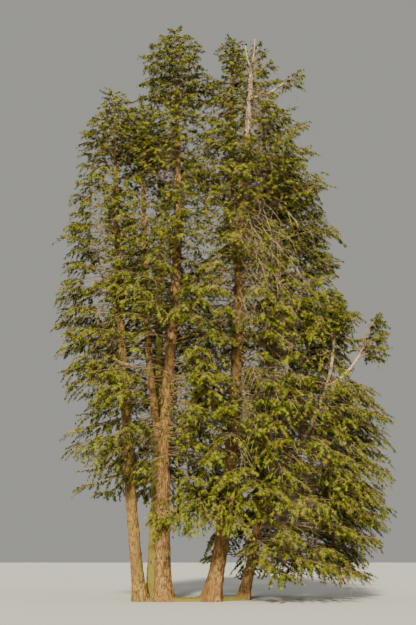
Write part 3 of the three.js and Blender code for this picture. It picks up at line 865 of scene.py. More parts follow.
@dataclass(frozen=True)
class Crown:
    """The foliage that one stem carries over a fan of directions, in tiers of so many masses each."""

    name: str
    stem: Stem
    peak: float
    skirt: float
    facing: float
    fan: float  # how many degrees it covers to each side of that
    spread: float
    power: float  # how its spread grows downwards
    tiers: tuple[float, ...]
    counts: tuple[int, ...]
    number: int
    patch: float = 0.56  # the area of its surface that one bough covers
    margin: float = 0.3  # how far short of its reach a bough's own tip stays
    tuck: float = 0.12  # how far its skirt draws in
    hem: float = 0.8  # the height under which it has no bough
    parting: tuple[float, ...] = (0.0,) * 4  # how many degrees each tier opens to both sides of the front
    bare: float = 0.04  # the share of its boughs that are dead
    sparse: float = 0.1  # the share that are missing
    parted: float = 0.85  # the share that are missing where it opens
    top_crowding: float = 1.5
    crest: float = 0.7
    inset: float = 0.0
    spill: float = 1.3  # how far a mass's boughs pass its own share of the fan
    dead: float = 0.6

    def reach_at(self, z: float, heading: float) -> float:
        """Returns how far the foliage reaches from the stem at a height and heading."""
        u = min(1.0, max(0.01, (self.peak - z) / (self.peak - self.skirt)))
        inward = mix(INNER_REACH, 1.0, (1 + math.cos(math.radians(heading - self.facing))) / 2)
        return self.spread * u**self.power * inward * (1 - self.tuck * u**5)

    def nodes(self) -> list[str]:
        """Returns the names of the solids of its masses."""
        return [f"{self.name}_foliage_{n + 1}" for n in range(sum(self.counts))]

    def boughs(self) -> Iterator[Bough]:
        """Yields the boughs, spread evenly over each mass."""
        for tier, (height, count) in enumerate(zip(self.tiers, self.counts)):
            width = 2 * self.fan / count
            low = min(TIER_HEIGHT, 2 * (height - LOWEST_TIP))
            for j in range(count):
                stagger = (0.1 if tier % 2 else -0.1) * width
                middle = self.facing - self.fan + width * (j + 0.5) + stagger
                key = self.number * 100 + tier * 10 + j
                high = TIER_HEIGHT * (1.0 if tier else TOP_STRETCH)
                area = 0.5 * (high + low) * math.radians(width) * self.reach_at(height, middle)
                crowding = 1.0 if tier else self.top_crowding
                for i in range(max(8, round(crowding * area / self.patch))):
                    bough = self.bough(height, (low, high), middle, width, key, i, self.parting[tier])
                    if bough is not None:
                        yield bough

    def bough(
        self, height: float, span: tuple[float, float], middle: float, width: float,
        key: int, i: int, parting: float,
    ) -> Bough | None:
        """Makes one bough of a mass.

        Args:
            height: The mass's height.
            span: How tall it is below that and above it, each doubled.
            middle: Its middle heading.
            width: How many degrees it covers.
            key: The mass's number.
            i: The bough's number.
            parting: How many degrees the crown opens there, to both sides of the front.

        Returns:
            The bough, or None where it is missing.
        """
        rise, turn = even_place(i)
        z = height + rise * span[1 if rise > 0 else 0]
        heading = middle + turn * width * self.spill
        opened = abs((heading - FRONT + 180) % 360 - 180) < parting
        missing = draw(key, i, 71) < (self.parted if opened else self.sparse)
        if missing or not self.hem <= z <= self.peak - self.crest:
            return None
        scatter = 0.97 + TIP_SCATTER * (2 * draw(key, i, 1) - 1)
        if draw(key, i, 72) < 0.12:
            scatter += 0.1
        out = max(0.5, self.reach_at(z, heading) * scatter - self.margin - self.inset)
        tip = self.stem.centre(min(z, self.stem.height))
        tip[2] = z
        tip = tip + heading_vector(heading) * out
        u = (self.peak - z) / (self.peak - self.skirt)
        climb = (mix(TOP_RISE, SKIRT_RISE, min(1.0, u * 1.5)) - SAG) * out
        root = self.stem.centre(max(LOWEST_ROOT, min(z - climb, self.stem.height - 0.15)))
        length = float(np.linalg.norm(tip - root))
        live = max(mix(0.3, 0.5, draw(key, i, 6)), 1 - MOST_LIVE / max(0.1, length))
        lowness = min(1.0, max(0.0, u))
        arch = mix(0.05, 0.15, draw(key, i, 5)) * mix(1.0, 0.6, lowness)
        lush, hang = mix(0.8, 1.2, draw(key, i, 7)), mix(1.0, 0.5, lowness)
        bough = Bough(root, tip, key * 100 + i, arch, live, lush, 1.0, hang, self.dead)
        if draw(key, i, 8) < self.bare:
            shorter = root + (tip - root) * 0.8 - UP * 0.35 * out
            return replace(bough, tip=shorter, arch=0.1, live=0.3, lush=0.0)
        return bough


@dataclass(frozen=True)
class Tuft:
    """The top of a stem: a leader that carries on from its tip, with short boughs all round."""

    name: str
    stem: Stem
    peak: float
    girth: float
    number: int
    count: int = 76

    def nodes(self) -> list[str]:
        """Returns the name of its solid."""
        return [f"{self.name}_foliage"]

    def boughs(self) -> Iterator[Bough]:
        """Yields the leader, then the boughs that spiral down it."""
        root = self.stem.centre(self.stem.height)
        direction = self.stem.tip_direction() * np.array([1.0, 1.0, 0.0])
        top = np.array([root[0], root[1], self.peak - 0.12]) + direction * (self.peak - root[2])
        first = TUFT_KEYS + self.number * 100
        yield Bough(root, top, first, arch=0.0, live=0.25, lush=0.8, thick=1.5, hang=0.3)
        for k in range(1, self.count):
            u = mix(0.1, 1.0, (k - 1) / (self.count - 2))
            out = self.girth * u**0.55 * mix(0.72, 1.0, draw(self.number, k, 2)) - 0.1
            level = heading_vector(k * SPIRAL_ANGLE + self.number * 50)
            on = top + (root - top) * min(1.0, u + 0.1)
            tip = top + (root - top) * u * 0.9 + level * out
            start = on.copy()
            start[2] = min(on[2], max(root[2] - 1.2, tip[2] - 0.55 * out))
            yield Bough(start, tip, first + k, arch=0.14, live=0.2, hang=0.5)


@dataclass(frozen=True)
class LimbCloud:
    """The foliage at the tip of a limb: boughs that fan out over its mass."""

    name: str
    limb: Limb
    length: float
    width: float
    height: float
    number: int
    count: int

    def nodes(self) -> list[str]:
        """Returns the name of its solid."""
        return [f"{self.name}_foliage"]

    def boughs(self) -> Iterator[Bough]:
        """Yields the boughs, spread evenly over the mass."""
        along = unit(self.limb.tip_direction() * np.array([1.0, 1.0, MASS_CLIMB]))
        side = unit(np.cross(along, UP))
        root = self.limb.end
        for i in range(self.count):
            rise, turn = even_place(i)
            out = self.length * mix(0.5, 0.95, draw(self.number, i, 3))
            tip = root + along * out + side * turn * self.width + UP * (rise * self.height - MASS_SAG * out)
            start = self.limb.point(mix(0.7, 1.0, draw(self.number, i, 4)))
            yield Bough(start, tip, CLOUD_KEYS + self.number * 100 + i, arch=0.12, live=0.22)


@dataclass(frozen=True)
class Shoots:
    """Shoots, leafy or bare, that a stem carries between its boughs, over part of its height."""

    stem: Stem
    low: float
    high: float
    count: int
    number: int
    reach: tuple[float, float] = (0.55, 1.25)
    facing: float = 0.0
    fan: float = 180.0
    rise: tuple[float, float] = (-0.1, 0.25)
    lush: float = 0.9
    hang: float = 0.8
    thick: float = 1.0

    def boughs(self) -> Iterator[Bough]:
        """Yields the shoots, which spiral up the stem."""
        for k in range(self.count):
            z = mix(self.low, self.high, (k + draw(self.number, k, 1)) / self.count)
            root = self.stem.centre(z)
            level = heading_vector(self.facing + self.fan * (2 * (k * SPIRAL_STEP % 1.0) - 1))
            out = mix(*self.reach, draw(self.number, k, 2))
            tip = root + level * out + UP * out * mix(*self.rise, draw(self.number, k, 3))
            key = SHOOT_KEYS + self.number * 200 + k
            yield Bough(root, tip, key, 0.12, 0.3, self.lush, self.thick, self.hang)


# Each crown's name and stem, its peak, skirt, facing, fan, spread and power, its tiers, counts and number
CROWNS = (
    Crown(
        "left", LEFT, 22.0, 5.3, 180, 92, 3.85, 0.4, (16.3, 12.1, 7.9), (2, 3, 3), 0,
        tuck=0.4, hem=8.2, parting=(0, 0, 8), sparse=0.2, inset=0.38,
    ),
    Crown(
        "front", MAIN, 25.3, 2.3, 270, 58, 5.0, 0.56, (20.0, 15.9, 11.7, 7.2), (1, 1, 1, 1), 1,
        hem=4.9, parting=(0, 0, 8, 18), sparse=0.2, inset=0.2,
    ),
    Crown("low_left", MAIN, 25.3, 2.3, 244, 26, 3.0, 0.5, (4.5,), (1,), 2, hem=4.2, sparse=0.2, inset=0.6),
    Crown("middle", MAIN, 25.3, 2.3, 120, 84, 4.0, 0.5, (20.0,), (1,), 3, sparse=0.25),
    Crown(
        "back", BACK, 20.9, 2.9, 98, 72, 4.3, 0.5, (14.6, 10.3, 5.9), (1, 2, 2), 4,
        hem=4.2, inset=0.15, spill=1.5,
    ),
    Crown(
        "right_front", RIGHT, 24.7, 1.9, 264, 66, 4.9, 0.58, (20.7, 16.3, 11.8, 7.0), (1, 1, 1, 1), 5,
        hem=4.0, parting=(0, 0, 5, 4), bare=0.14, inset=0.1, dead=2.0,
    ),
    Crown(
        "right_side", RIGHT, 24.7, 3.0, 24, 54, 6.5, 0.52, (19.5, 15.9), (1, 1), 6,
        bare=0.1, spill=1.6, dead=1.8,
    ),
    Crown("fork", RIGHT_FORK, 25.05, 13.0, 200, 84, 3.0, 0.45, (19.4,), (1,), 8),
    Crown("leader", RIGHT, 24.95, 18.6, 10, 80, 2.6, 0.55, (22.3,), (1,), 9, bare=0.1, dead=1.2, crest=0.45),
    Crown(
        "far_right", FAR_RIGHT, 18.9, 0.9, 8, 92, 6.15, 0.55, (12.6, 8.9, 5.3, 2.3), (2, 3, 2, 2), 7,
        tuck=0.2, hem=0.9, inset=0.12,
    ),
)
# Each tuft's name and stem, its peak, girth and number
TUFTS = (
    Tuft("middle_top", LEFT_FORK, 21.9, 1.75, 0),
    Tuft("left_top", LEFT, 22.05, 2.05, 1),
    Tuft("main_top", MAIN, 25.3, 2.45, 2),
    Tuft("back_top", BACK, 20.9, 1.98, 3),
    Tuft("right_fork_top", RIGHT_FORK, 25.05, 1.7, 4),
    Tuft("far_right_top", FAR_RIGHT, 18.9, 2.2, 5),
)
# Each cloud's name and limb, its length, width, height, number and count
CLOUDS = (
    LimbCloud("outer", OUTER_LIMB, 1.5, 2.2, 3.2, 0, 20),
    LimbCloud("upright", UPRIGHT_LIMB, 1.6, 3.0, 2.2, 1, 20),
    LimbCloud("top_right", TOP_RIGHT_LIMB, 1.1, 1.9, 1.5, 2, 9),
    LimbCloud("low_front", FRONT_LIMB, 1.75, 3.8, 2.4, 3, 44),
)
# The stem, lowest and highest place, count and number of each group of shoots, its reach, facing and fan
SHOOTS: dict[str, tuple[Shoots, ...]] = {
    "left": (
        Shoots(LEFT, 11.6, 17.8, 60, 0),
        Shoots(LEFT, 4.3, 9.2, 40, 11, (0.5, 1.3), 270, 120),
        Shoots(LEFT, 12.0, 17.4, 26, 12, (0.6, 1.5), 270, 60),
    ),
    "front": (
        Shoots(MAIN, 10.8, 17.2, 34, 1),
        Shoots(MAIN, 2.9, 3.8, 18, 7, (0.4, 0.95), 270, 60),
        Shoots(MAIN, 18.8, 21.4, 18, 13, (0.6, 1.5), 270, 70),
        Shoots(MAIN, 13.7, 17.3, 24, 17, (0.6, 1.6), 270, 60),
    ),
    "centre": (
        Shoots(LEFT_FORK, 10.6, 17.4, 54, 2),
        Shoots(LEFT_FORK, 11.4, 17.0, 28, 14, (0.6, 1.5), 270, 70),
        Shoots(BACK, 8.0, 16.5, 30, 3),
        Shoots(MAIN, 8.0, 18.6, 40, 8, (1.0, 2.3), 40, 65),
    ),
    "right": (
        Shoots(RIGHT, 8.6, 19.6, 78, 4),
        Shoots(RIGHT_FORK, 14.2, 20.4, 36, 5),
        Shoots(RIGHT, 4.4, 16.0, 70, 9, (1.0, 2.4), 95, 75),
        Shoots(
            RIGHT, 12.6, 17.3, 28, 15, (1.8, 3.3), 304, 24,
            rise=(-1.15, -0.7), lush=0.0, hang=1.2, thick=0.65,
        ),
        Shoots(RIGHT, 10.3, 11.2, 8, 18, (0.6, 1.4), 270, 60),
        Shoots(RIGHT, 13.5, 14.9, 12, 19, (0.6, 1.5), 270, 60),
        Shoots(RIGHT, 17.0, 19.6, 18, 20, (0.6, 1.5), 270, 60),
        Shoots(RIGHT, 6.9, 8.1, 10, 21, (0.6, 1.4), 270, 60),
        Shoots(
            RIGHT, 6.6, 12.0, 14, 16, (2.0, 3.9), 303, 28,
            rise=(-0.8, -0.45), lush=0.0, hang=1.2, thick=0.55,
        ),
    ),
    "far_right": (
        Shoots(FAR_RIGHT, 6.5, 15.0, 30, 6),
        Shoots(FAR_RIGHT, 3.4, 13.0, 40, 10, (1.0, 2.2), 135, 50),
    ),
}
GROUPS = {group.name: group for group in (*CROWNS, *TUFTS, *CLOUDS)}
# The crowns, tufts and clouds whose sprays are joined into one section's pieces
SECTIONS: dict[str, tuple[str, ...]] = {
    "left": ("left", "left_top"),
    "front": ("front", "low_left", "main_top", "low_front"),
    "centre": ("middle", "back", "middle_top", "back_top"),
    "right": ("right_front", "right_side", "fork", "leader", "right_fork_top", "top_right"),
    "far_right": ("far_right", "far_right_top", "outer", "upright"),
}


@dataclass(frozen=True)
class Opening:
    """A thin place in the foliage, as it shows from the front: along a line where wood or sky shows."""

    line: tuple[tuple[float, float], ...]
    reach: float
    share: float = 0.8  # the share of the sprays and twigs that are missing
    ahead_of: float = 9.0  # only what grows nearer than this Y is missing

    def near(self, seen: np.ndarray) -> np.ndarray:
        """Tells which places lie within its reach of the line.

        Args:
            seen: The places, as X and Z seen from the front.

        Returns:
            True for each that does.
        """
        least = np.full(len(seen), np.inf)
        corners = np.array(self.line)
        for start, end in zip(corners, corners[1:] if len(corners) > 1 else corners):
            run = end - start
            t = np.clip((seen - start) @ run / max(1e-9, float(run @ run)), 0.0, 1.0)
            least = np.minimum(least, np.linalg.norm(seen - start - t[:, None] * run, axis=1))
        return least < self.reach

    def thins(self, points: np.ndarray, seen: np.ndarray, chance: np.ndarray) -> np.ndarray:
        """Tells which sprays or twigs are missing.

        Args:
            points: Where they are.
            seen: Where they show from the front, as X and Z.
            chance: A random number for each.

        Returns:
            True for each that is missing.
        """
        return self.near(seen) & (points[:, 1] < self.ahead_of) & (chance < self.share)


def shown_from_front(points: np.ndarray) -> np.ndarray:
    """Returns where points show on the upright plane of the main stem, seen from the front, as X and Z."""
    share = -FRONT_VIEW[1] / (points[:, 1] - FRONT_VIEW[1])
    eye = FRONT_VIEW[[0, 2]]
    return eye + (points[:, [0, 2]] - eye) * share[:, None]


def beside(points: list[np.ndarray], reach: float, share: float) -> Opening:
    """Makes an opening in front of a stem or limb.

    Args:
        points: Points along the wood that is to show.
        reach: How far to each side of it the foliage is thin.
        share: The share of the sprays that are missing.

    Returns:
        The opening, which keeps what grows behind the wood.
    """
    line = shown_from_front(np.array(points))
    return Opening(tuple(map(tuple, line)), reach, share, float(min(p[1] for p in points)) + 0.1)


def stem_window(stem: Stem, low: float, high: float, reach: float = 0.34, share: float = 0.85) -> Opening:
    """Makes an opening in front of a stem between two heights."""
    return beside([stem.centre(z) for z in np.linspace(low, high, 5)], reach, share)


def limb_window(limb: Limb, start: float, end: float, reach: float = 0.34, share: float = 0.9) -> Opening:
    """Makes an opening in front of a limb between two shares of its way."""
    return beside([limb.point(t) for t in np.linspace(start, end, 5)], reach, share)


# Places at the crown's edges where the view from the front shows sky, as lines of X and Z
NOTCHES = (
    ((5.1, 21.4), (5.8, 21.8)),
    ((5.8, 20.8),),
    ((5.9, 19.4), (6.5, 19.9)),
    ((6.3, 18.1), (6.9, 18.6)),
    ((6.9, 16.8), (7.4, 15.5)),
    ((7.3, 14.2), (7.8, 14.1)),
    ((7.9, 12.0), (7.4, 12.8), (7.7, 13.4)),
    ((8.2, 10.7),),
    ((7.9, 9.6),),
    ((8.0, 8.8), (8.9, 8.8)),
    ((-3.9, 20.6), (-3.4, 21.4)),
    ((-2.0, 22.5), (-1.6, 22.5), (-1.55, 23.1)),
    ((1.8, 23.6), (2.1, 22.8)),
    ((-3.4, 12.9),),
    ((-0.2, 17.8),),
)
NOTCH_REACH = 0.3
CLEARINGS = tuple(Opening(line, NOTCH_REACH) for line in NOTCHES)

# Thin places in front of stems and limbs, and then others that the view from the front shows
OPENINGS = (
    stem_window(MAIN, 3.7, 10.6, 0.5, 0.9),
    stem_window(MAIN, 12.6, 13.6, 0.3, 0.7),
    stem_window(MAIN, 17.4, 18.8, 0.3, 0.8),
    stem_window(LEFT, 5.6, 6.8, 0.2, 0.6),
    stem_window(LEFT, 9.3, 11.4),
    stem_window(LEFT_FORK, 7.6, 10.4, 0.4, 0.9),
    stem_window(RIGHT, 5.3, 6.8),
    stem_window(RIGHT, 8.2, 10.2, 0.3, 0.75),
    stem_window(RIGHT, 11.3, 13.4, 0.22, 0.7),
    stem_window(RIGHT, 15.0, 16.8, 0.26, 0.6),
    stem_window(RIGHT, 20.0, 24.4, 0.3, 0.9),
    limb_window(CROSSING_LIMB, 0.05, 1.0, 0.36, 0.8),
    limb_window(LOW_LIMB, 0.2, 1.0, 0.32, 0.85),
    limb_window(UPRIGHT_LIMB, 0.0, 0.9, 0.36, 0.92),
    limb_window(TOP_RIGHT_LIMB, 0.1, 0.8, 0.25, 0.8),
    Opening(((-2.7, 11.6),), 0.34),
    Opening(((-1.2, 9.4),), 0.45),
    Opening(((0.72, 7.5), (0.76, 8.6)), 0.28),
    Opening(((1.9, 6.66),), 0.4),
    Opening(((3.24, 7.3),), 0.4),
    Opening(((3.5, 9.5),), 0.4),
    Opening(((4.5, 9.0),), 0.45),
    Opening(((2.0, 15.9),), 0.45, 0.6),
    Opening(((2.6, 13.2),), 0.3),
    Opening(((-0.84, 17.5), (-1.1, 15.4)), 0.4, 0.6),
    Opening(((1.12, 19.4), (1.9, 18.2)), 0.4, 0.6),
    Opening(((0.4, 17.9), (1.5, 15.9), (1.9, 13.8)), 0.45, 0.5),
    Opening(((-2.9, 15.0), (-2.5, 13.2)), 0.5, 0.45),
    Opening(((4.0, 15.8), (4.9, 14.2), (5.0, 12.6)), 0.85, 0.6, 0.0),
    Opening(((4.3, 11.4), (6.0, 9.6)), 0.5, 0.45, 0.3),
    Opening(((-3.1, 16.7), (-3.1, 15.1)), 0.3),
    Opening(((0.9, 15.6), (0.85, 13.4)), 0.26, 0.7),
)


def left_by_openings(points: np.ndarray) -> np.ndarray:
    """Tells which sprays or twigs stay once every opening is thinned.

    Args:
        points: Where they are.

    Returns:
        True for each that stays.
    """
    seen = shown_from_front(points)
    chance = np.random.default_rng([SEED, len(points)]).random(len(points))
    kept = np.ones(len(points), bool)
    for opening in OPENINGS:
        kept &= ~opening.thins(points, seen, chance)
    return kept


def clear_of_notches(points: np.ndarray) -> np.ndarray:
    """Tells which points lie outside every notch, as seen from the front."""
    seen = shown_from_front(points)
    return ~np.any([clearing.near(seen) for clearing in CLEARINGS], axis=0)


@dataclass
class SprayPattern:
    """One spray, flat like a fern: a long middle lobe and a pointed lobe at each side, which all nod."""

    side_start: float = 0.2
    side_angle: float = 47.0
    side_length: float = 0.62
    side_breadth: float = 0.25
    middle_breadth: float = 0.22
    nod: float = 0.2
    fold: float = 0.35

    def lobe(self, start: float, degrees: float, length: float, breadth: float) -> np.ndarray:
        """Draws one lobe.

        Args:
            start: Where it leaves the middle of the spray.
            degrees: How far it turns to the side.
            length: How long it is.
            breadth: How broad it is at its start.

        Returns:
            Its three corners.
        """
        a = math.radians(degrees)
        along = np.array([math.cos(a), math.sin(a), 0.0])
        half = np.array([-math.sin(a), math.cos(a), 0.0]) * breadth / 2
        root = np.array([start, 0.0, 0.0])
        return np.array([root - half, root + along * length, root + half])

    def corners(self) -> np.ndarray:
        """Returns the corners of every lobe of a spray that is 1 long."""
        lobes = [self.lobe(0.0, 0.0, 1.0, self.middle_breadth)]
        for degrees in (-self.side_angle, self.side_angle):
            lobes.append(self.lobe(self.side_start, degrees, self.side_length, self.side_breadth))
        shape = np.array(lobes)
        shape[..., 2] -= self.nod * shape[..., 0] ** 2 + self.fold * np.abs(shape[..., 1])
        return shape


@dataclass
class Sprays:
    """The sprays of one section of the crown, gathered as arrays."""

    added: list[tuple[np.ndarray, ...]] = field(default_factory=list)

    def add(self, *values: np.ndarray) -> None:
        """Adds some sprays: where each starts, the way it grows and faces, its length and its tint."""
        self.added.append(values)

    def joined(self) -> tuple[np.ndarray, ...]:
        """Returns the sprays that stay once the openings are thinned, as one array for each property."""
        base, along, face, size, tint = (np.concatenate(values) for values in zip(*self.added))
        kept = left_by_openings(base + along * size[:, None] * 0.5)
        return tuple(values[kept] for values in (base, along, face, size, tint))


def spray_piece(name: str, sprays: tuple[np.ndarray, ...], chunk: slice, pattern: np.ndarray) -> Piece:
    """Joins some sprays into one mesh.

    Args:
        name: The piece's name.
        sprays: Where each starts, the way it grows and faces, its length and its tint.
        chunk: Which of the sprays it holds.
        pattern: The corners of each lobe of a spray that is 1 long.

    Returns:
        The piece, with a tint's number on each face.
    """
    base, along, face, size, tint = (values[chunk] for values in sprays)
    x = unit(along)
    z = unit(face - x * np.sum(face * x, axis=1, keepdims=True))
    y = np.cross(z, x)
    axes = np.stack([x, y, z], axis=1) * size[:, None, None]
    vertices = base[:, None, :] + np.einsum("ck,nkd->ncd", pattern.reshape(-1, 3), axes)
    vertices = vertices.reshape(-1, 3)
    sizes = np.full(len(vertices) // 3, 3, np.int32)
    return mesh_from_loops(name, vertices, np.arange(len(vertices)), sizes, np.repeat(tint, len(pattern)))


def mesh_from_loops(
    name: str, vertices: np.ndarray, loops: np.ndarray, sizes: np.ndarray, tint: np.ndarray | None = None
) -> Piece:
    """Makes a piece from arrays.

    Args:
        name: The piece's name.
        vertices: Its vertices.
        loops: The vertices of each face, one face after another.
        sizes: How many vertices each face has.
        tint: The number of each face's material, if it has several.

    Returns:
        The piece.
    """
    mesh = bpy.data.meshes.new(name)
    mesh.vertices.add(len(vertices))
    mesh.vertices.foreach_set("co", vertices.astype(np.float32).ravel())
    mesh.loops.add(len(loops))
    mesh.loops.foreach_set("vertex_index", loops.astype(np.int32))
    mesh.polygons.add(len(sizes))
    starts = np.concatenate([[0], np.cumsum(sizes)[:-1]]).astype(np.int32)
    mesh.polygons.foreach_set("loop_start", starts)
    if tint is not None:
        mesh.polygons.foreach_set("material_index", tint.astype(np.int32))
    mesh.update(calc_edges=True)
    piece = bpy.data.objects.new(name, mesh)
    bpy.context.scene.collection.objects.link(piece)
    return piece


@dataclass
class Twigs:
    """Tapering twigs of one section, gathered by how many rings and sides they have."""

    kinds: dict[tuple[int, int], list[tuple[np.ndarray, np.ndarray]]] = field(default_factory=dict)

    def add(self, points: np.ndarray, radii: np.ndarray, sides: int) -> None:
        """Adds twigs.

        Args:
            points: The points along each twig, one row for each twig.
            radii: The radius at each of the points.
            sides: How many sides the twigs have.
        """
        raised = points.copy()
        raised[..., 2] = np.maximum(raised[..., 2], LOWEST_TWIG)
        self.kinds.setdefault((points.shape[1], sides), []).append((raised, radii))

    def piece(self, name: str) -> Piece:
        """Joins the twigs that the openings leave into one mesh.

        Args:
            name: The piece's name.

        Returns:
            The piece.
        """
        vertices, faces, used = [], [], 0
        for (rings, sides), added in self.kinds.items():
            points, radii = (np.concatenate(values) for values in zip(*added))
            if rings <= TWIG_RINGS:
                kept = left_by_openings(points[:, -1])
                points, radii = points[kept], radii[kept]
            vertices.append(self.tubes(points, radii, sides).reshape(-1, 3))
            index = np.arange(len(vertices[-1])).reshape(-1, rings, sides) + used
            turned = np.roll(index, -1, axis=2)
            walls = np.stack([index[:, :-1], index[:, 1:], turned[:, 1:], turned[:, :-1]], axis=-1)
            faces += [walls.reshape(-1, 4), np.concatenate([index[:, 0], index[:, -1, ::-1]])]
            used += len(vertices[-1])
        loops = np.concatenate([face.ravel() for face in faces])
        sizes = np.concatenate([np.full(len(face), face.shape[1], np.int32) for face in faces])
        return mesh_from_loops(name, np.concatenate(vertices), loops, sizes)

    def tubes(self, points: np.ndarray, radii: np.ndarray, sides: int) -> np.ndarray:
        """Sets rings round some twigs.

        Args:
            points: The points along each twig.
            radii: The radius at each of the points.
            sides: How many corners a ring has.

        Returns:
            The corners of every ring.
        """
        along = unit(np.gradient(points, axis=1))
        level = np.where(np.abs(along[..., 2:3]) > 0.95, np.array([1.0, 0.0, 0.0]), UP)
        first = unit(np.cross(along, level))
        second = np.cross(first, along)
        angle = 2 * np.pi * np.arange(sides) / sides
        ring = np.cos(angle)[:, None] * first[:, :, None, :] + np.sin(angle)[:, None] * second[:, :, None, :]
        return points[:, :, None, :] + ring * radii[:, :, None, None]


@dataclass
class Foliage:
    """The boughs, twigs and sprays of the whole crown, grown by rule and joined section by section."""

    bough_rings: int = 7
    branch_step: float = 0.165
    branch_reach: float = 0.27
    spray_step: float = 0.046
    spray_length: float = 0.175
    most_sprays: int = 64000
    dead_step: float = 0.26
    tilt: float = 0.35
    bend_from: float = 0.42  # a side branch that is longer than this has a bend
    wander: float = 0.26
    bough_wood: tuple[float, float] = (0.007, 0.005)  # a bough's radius at its root, and what a metre adds
    branch_wood: tuple[float, float] = (0.004, 0.008)  # a side branch's
    dead_wood: tuple[float, float] = (0.003, 0.007)  # a bare twig's
    bough_sides: int = 4
    twig_sides: int = 3

    def curve(self, bough: Bough) -> np.ndarray:
        """Bends a bough, which arches over and nods at its tip.

        Args:
            bough: The bough.

        Returns:
            Points along it.
        """
        t = np.linspace(0.0, 1.0, self.bough_rings)[:, None]
        run = bough.tip - bough.root
        length = float(np.linalg.norm(run))
        lift = UP * bough.arch * length
        side = level_across(run)
        wander = [length * self.wander * (draw(bough.key, n, 9) - 0.5) for n in range(4)]
        first = bough.root + run * 0.35 + lift + side * wander[0] + UP * wander[1]
        second = bough.root + run * 0.78 + lift * 0.85 + side * wander[2] + UP * wander[3] * 0.6
        early = (1 - t) ** 3 * bough.root + 3 * t * (1 - t) ** 2 * first
        return early + 3 * t * t * (1 - t) * second + t**3 * bough.tip

    def grow(self, bough: Bough, sprays: Sprays, twigs: Twigs, dead: Twigs) -> None:
        """Grows one bough with its side branches and their sprays.

        Args:
            bough: The bough.
            sprays: Where its sprays go.
            twigs: Where its wood goes.
            dead: Where the bare twigs near its root go.
        """
        rng = np.random.default_rng([SEED, bough.key])
        twigs = twigs if bough.lush > 0 else dead
        line = self.curve(bough)
        if not clear_of_notches(line[-1:])[0]:
            return
        length = float(np.linalg.norm(np.diff(line, axis=0), axis=1).sum())
        thick = (self.bough_wood[0] + self.bough_wood[1] * length) * bough.thick
        radii = np.linspace(1.0, 0.18, self.bough_rings) * thick
        twigs.add(line[None], radii[None], self.bough_sides)
        self.bare_twigs(bough, rng, line, length, dead)
        live = length * (1 - bough.live)
        count = max(3, int(live / self.branch_step * (1.0 if bough.lush > 0 else 0.5)))
        t = bough.live + (1 - bough.live) * (np.arange(count) + rng.uniform(0.1, 0.9, count)) / count
        start, tangent = self.along(line, t)
        outward = unit(bough.tip - bough.root)
        across = level_across(tangent)
        tilt = rng.normal(0, self.tilt)
        across = across * math.cos(tilt) + np.cross(across, tangent) * math.sin(tilt)
        sign = np.where(np.arange(count) % 2, 1.0, -1.0)[:, None]
        spread = np.radians(mix(62, 34, t) + rng.normal(0, 8, count))[:, None]
        droop = bough.hang * rng.uniform(0.05, 0.75, count)[:, None]
        heading = unit(tangent * np.cos(spread) + across * sign * np.sin(spread) - UP * droop)
        share = (t - bough.live) / (1 - bough.live)
        profile = mix(0.75, 1.0, np.minimum(1.0, share * 3))
        profile = profile * mix(1.0, 0.55, np.maximum(0.0, share - 0.5) / 0.5)
        reach = np.clip(self.branch_reach * length, 0.28, 0.85) * profile * rng.uniform(0.55, 1.35, count)
        self.branches(bough, rng, sprays, twigs, start, heading, reach, outward, share)
        last = line[-2:-1]
        ahead, end_reach = unit(line[-1:] - last), np.array([0.32])
        self.branches(bough, rng, sprays, twigs, last, ahead, end_reach, outward, np.ones(1))

    def bare_twigs(
        self, bough: Bough, rng: np.random.Generator, line: np.ndarray, length: float, dead: Twigs
    ) -> None:
        """Grows the bare twigs that hang on between a bough's root and its first leaves.

        Args:
            bough: The bough.
            rng: Its own random numbers.
            line: The points along it.
            length: Its length.
            dead: Where the twigs go.
        """
        count = max(1, int(bough.dead * length * (bough.live + 0.3) / self.dead_step))
        start, tangent = self.along(line, rng.uniform(0.1, min(0.95, bough.live + 0.4), count))
        across = level_across(tangent) * rng.choice([-1.0, 1.0], (count, 1))
        heading = unit(tangent * 0.6 + across * 0.6 + rng.normal(0, 0.35, (count, 3)) - UP * 0.45)
        reach = rng.uniform(0.25, 0.85, (count, 1))
        middle = start + heading * reach * 0.55 + UP * 0.05 * reach
        end = start + heading * reach - UP * 0.16 * reach
        thick = (self.dead_wood[0] + self.dead_wood[1] * reach) * np.array([1.0, 0.75, 0.35])
        dead.add(np.stack([start, middle, end], axis=1), thick, self.twig_sides)

    def along(self, line: np.ndarray, t: np.ndarray) -> tuple[np.ndarray, np.ndarray]:
        """Finds places along a line of points.

        Args:
            line: The line.
            t: How far along it each place is, as a share.

        Returns:
            The points there, and the line's directions.
        """
        place = t * (len(line) - 1)
        low = np.minimum(place.astype(int), len(line) - 2)
        step = line[low + 1] - line[low]
        return line[low] + step * (place - low)[:, None], unit(step)

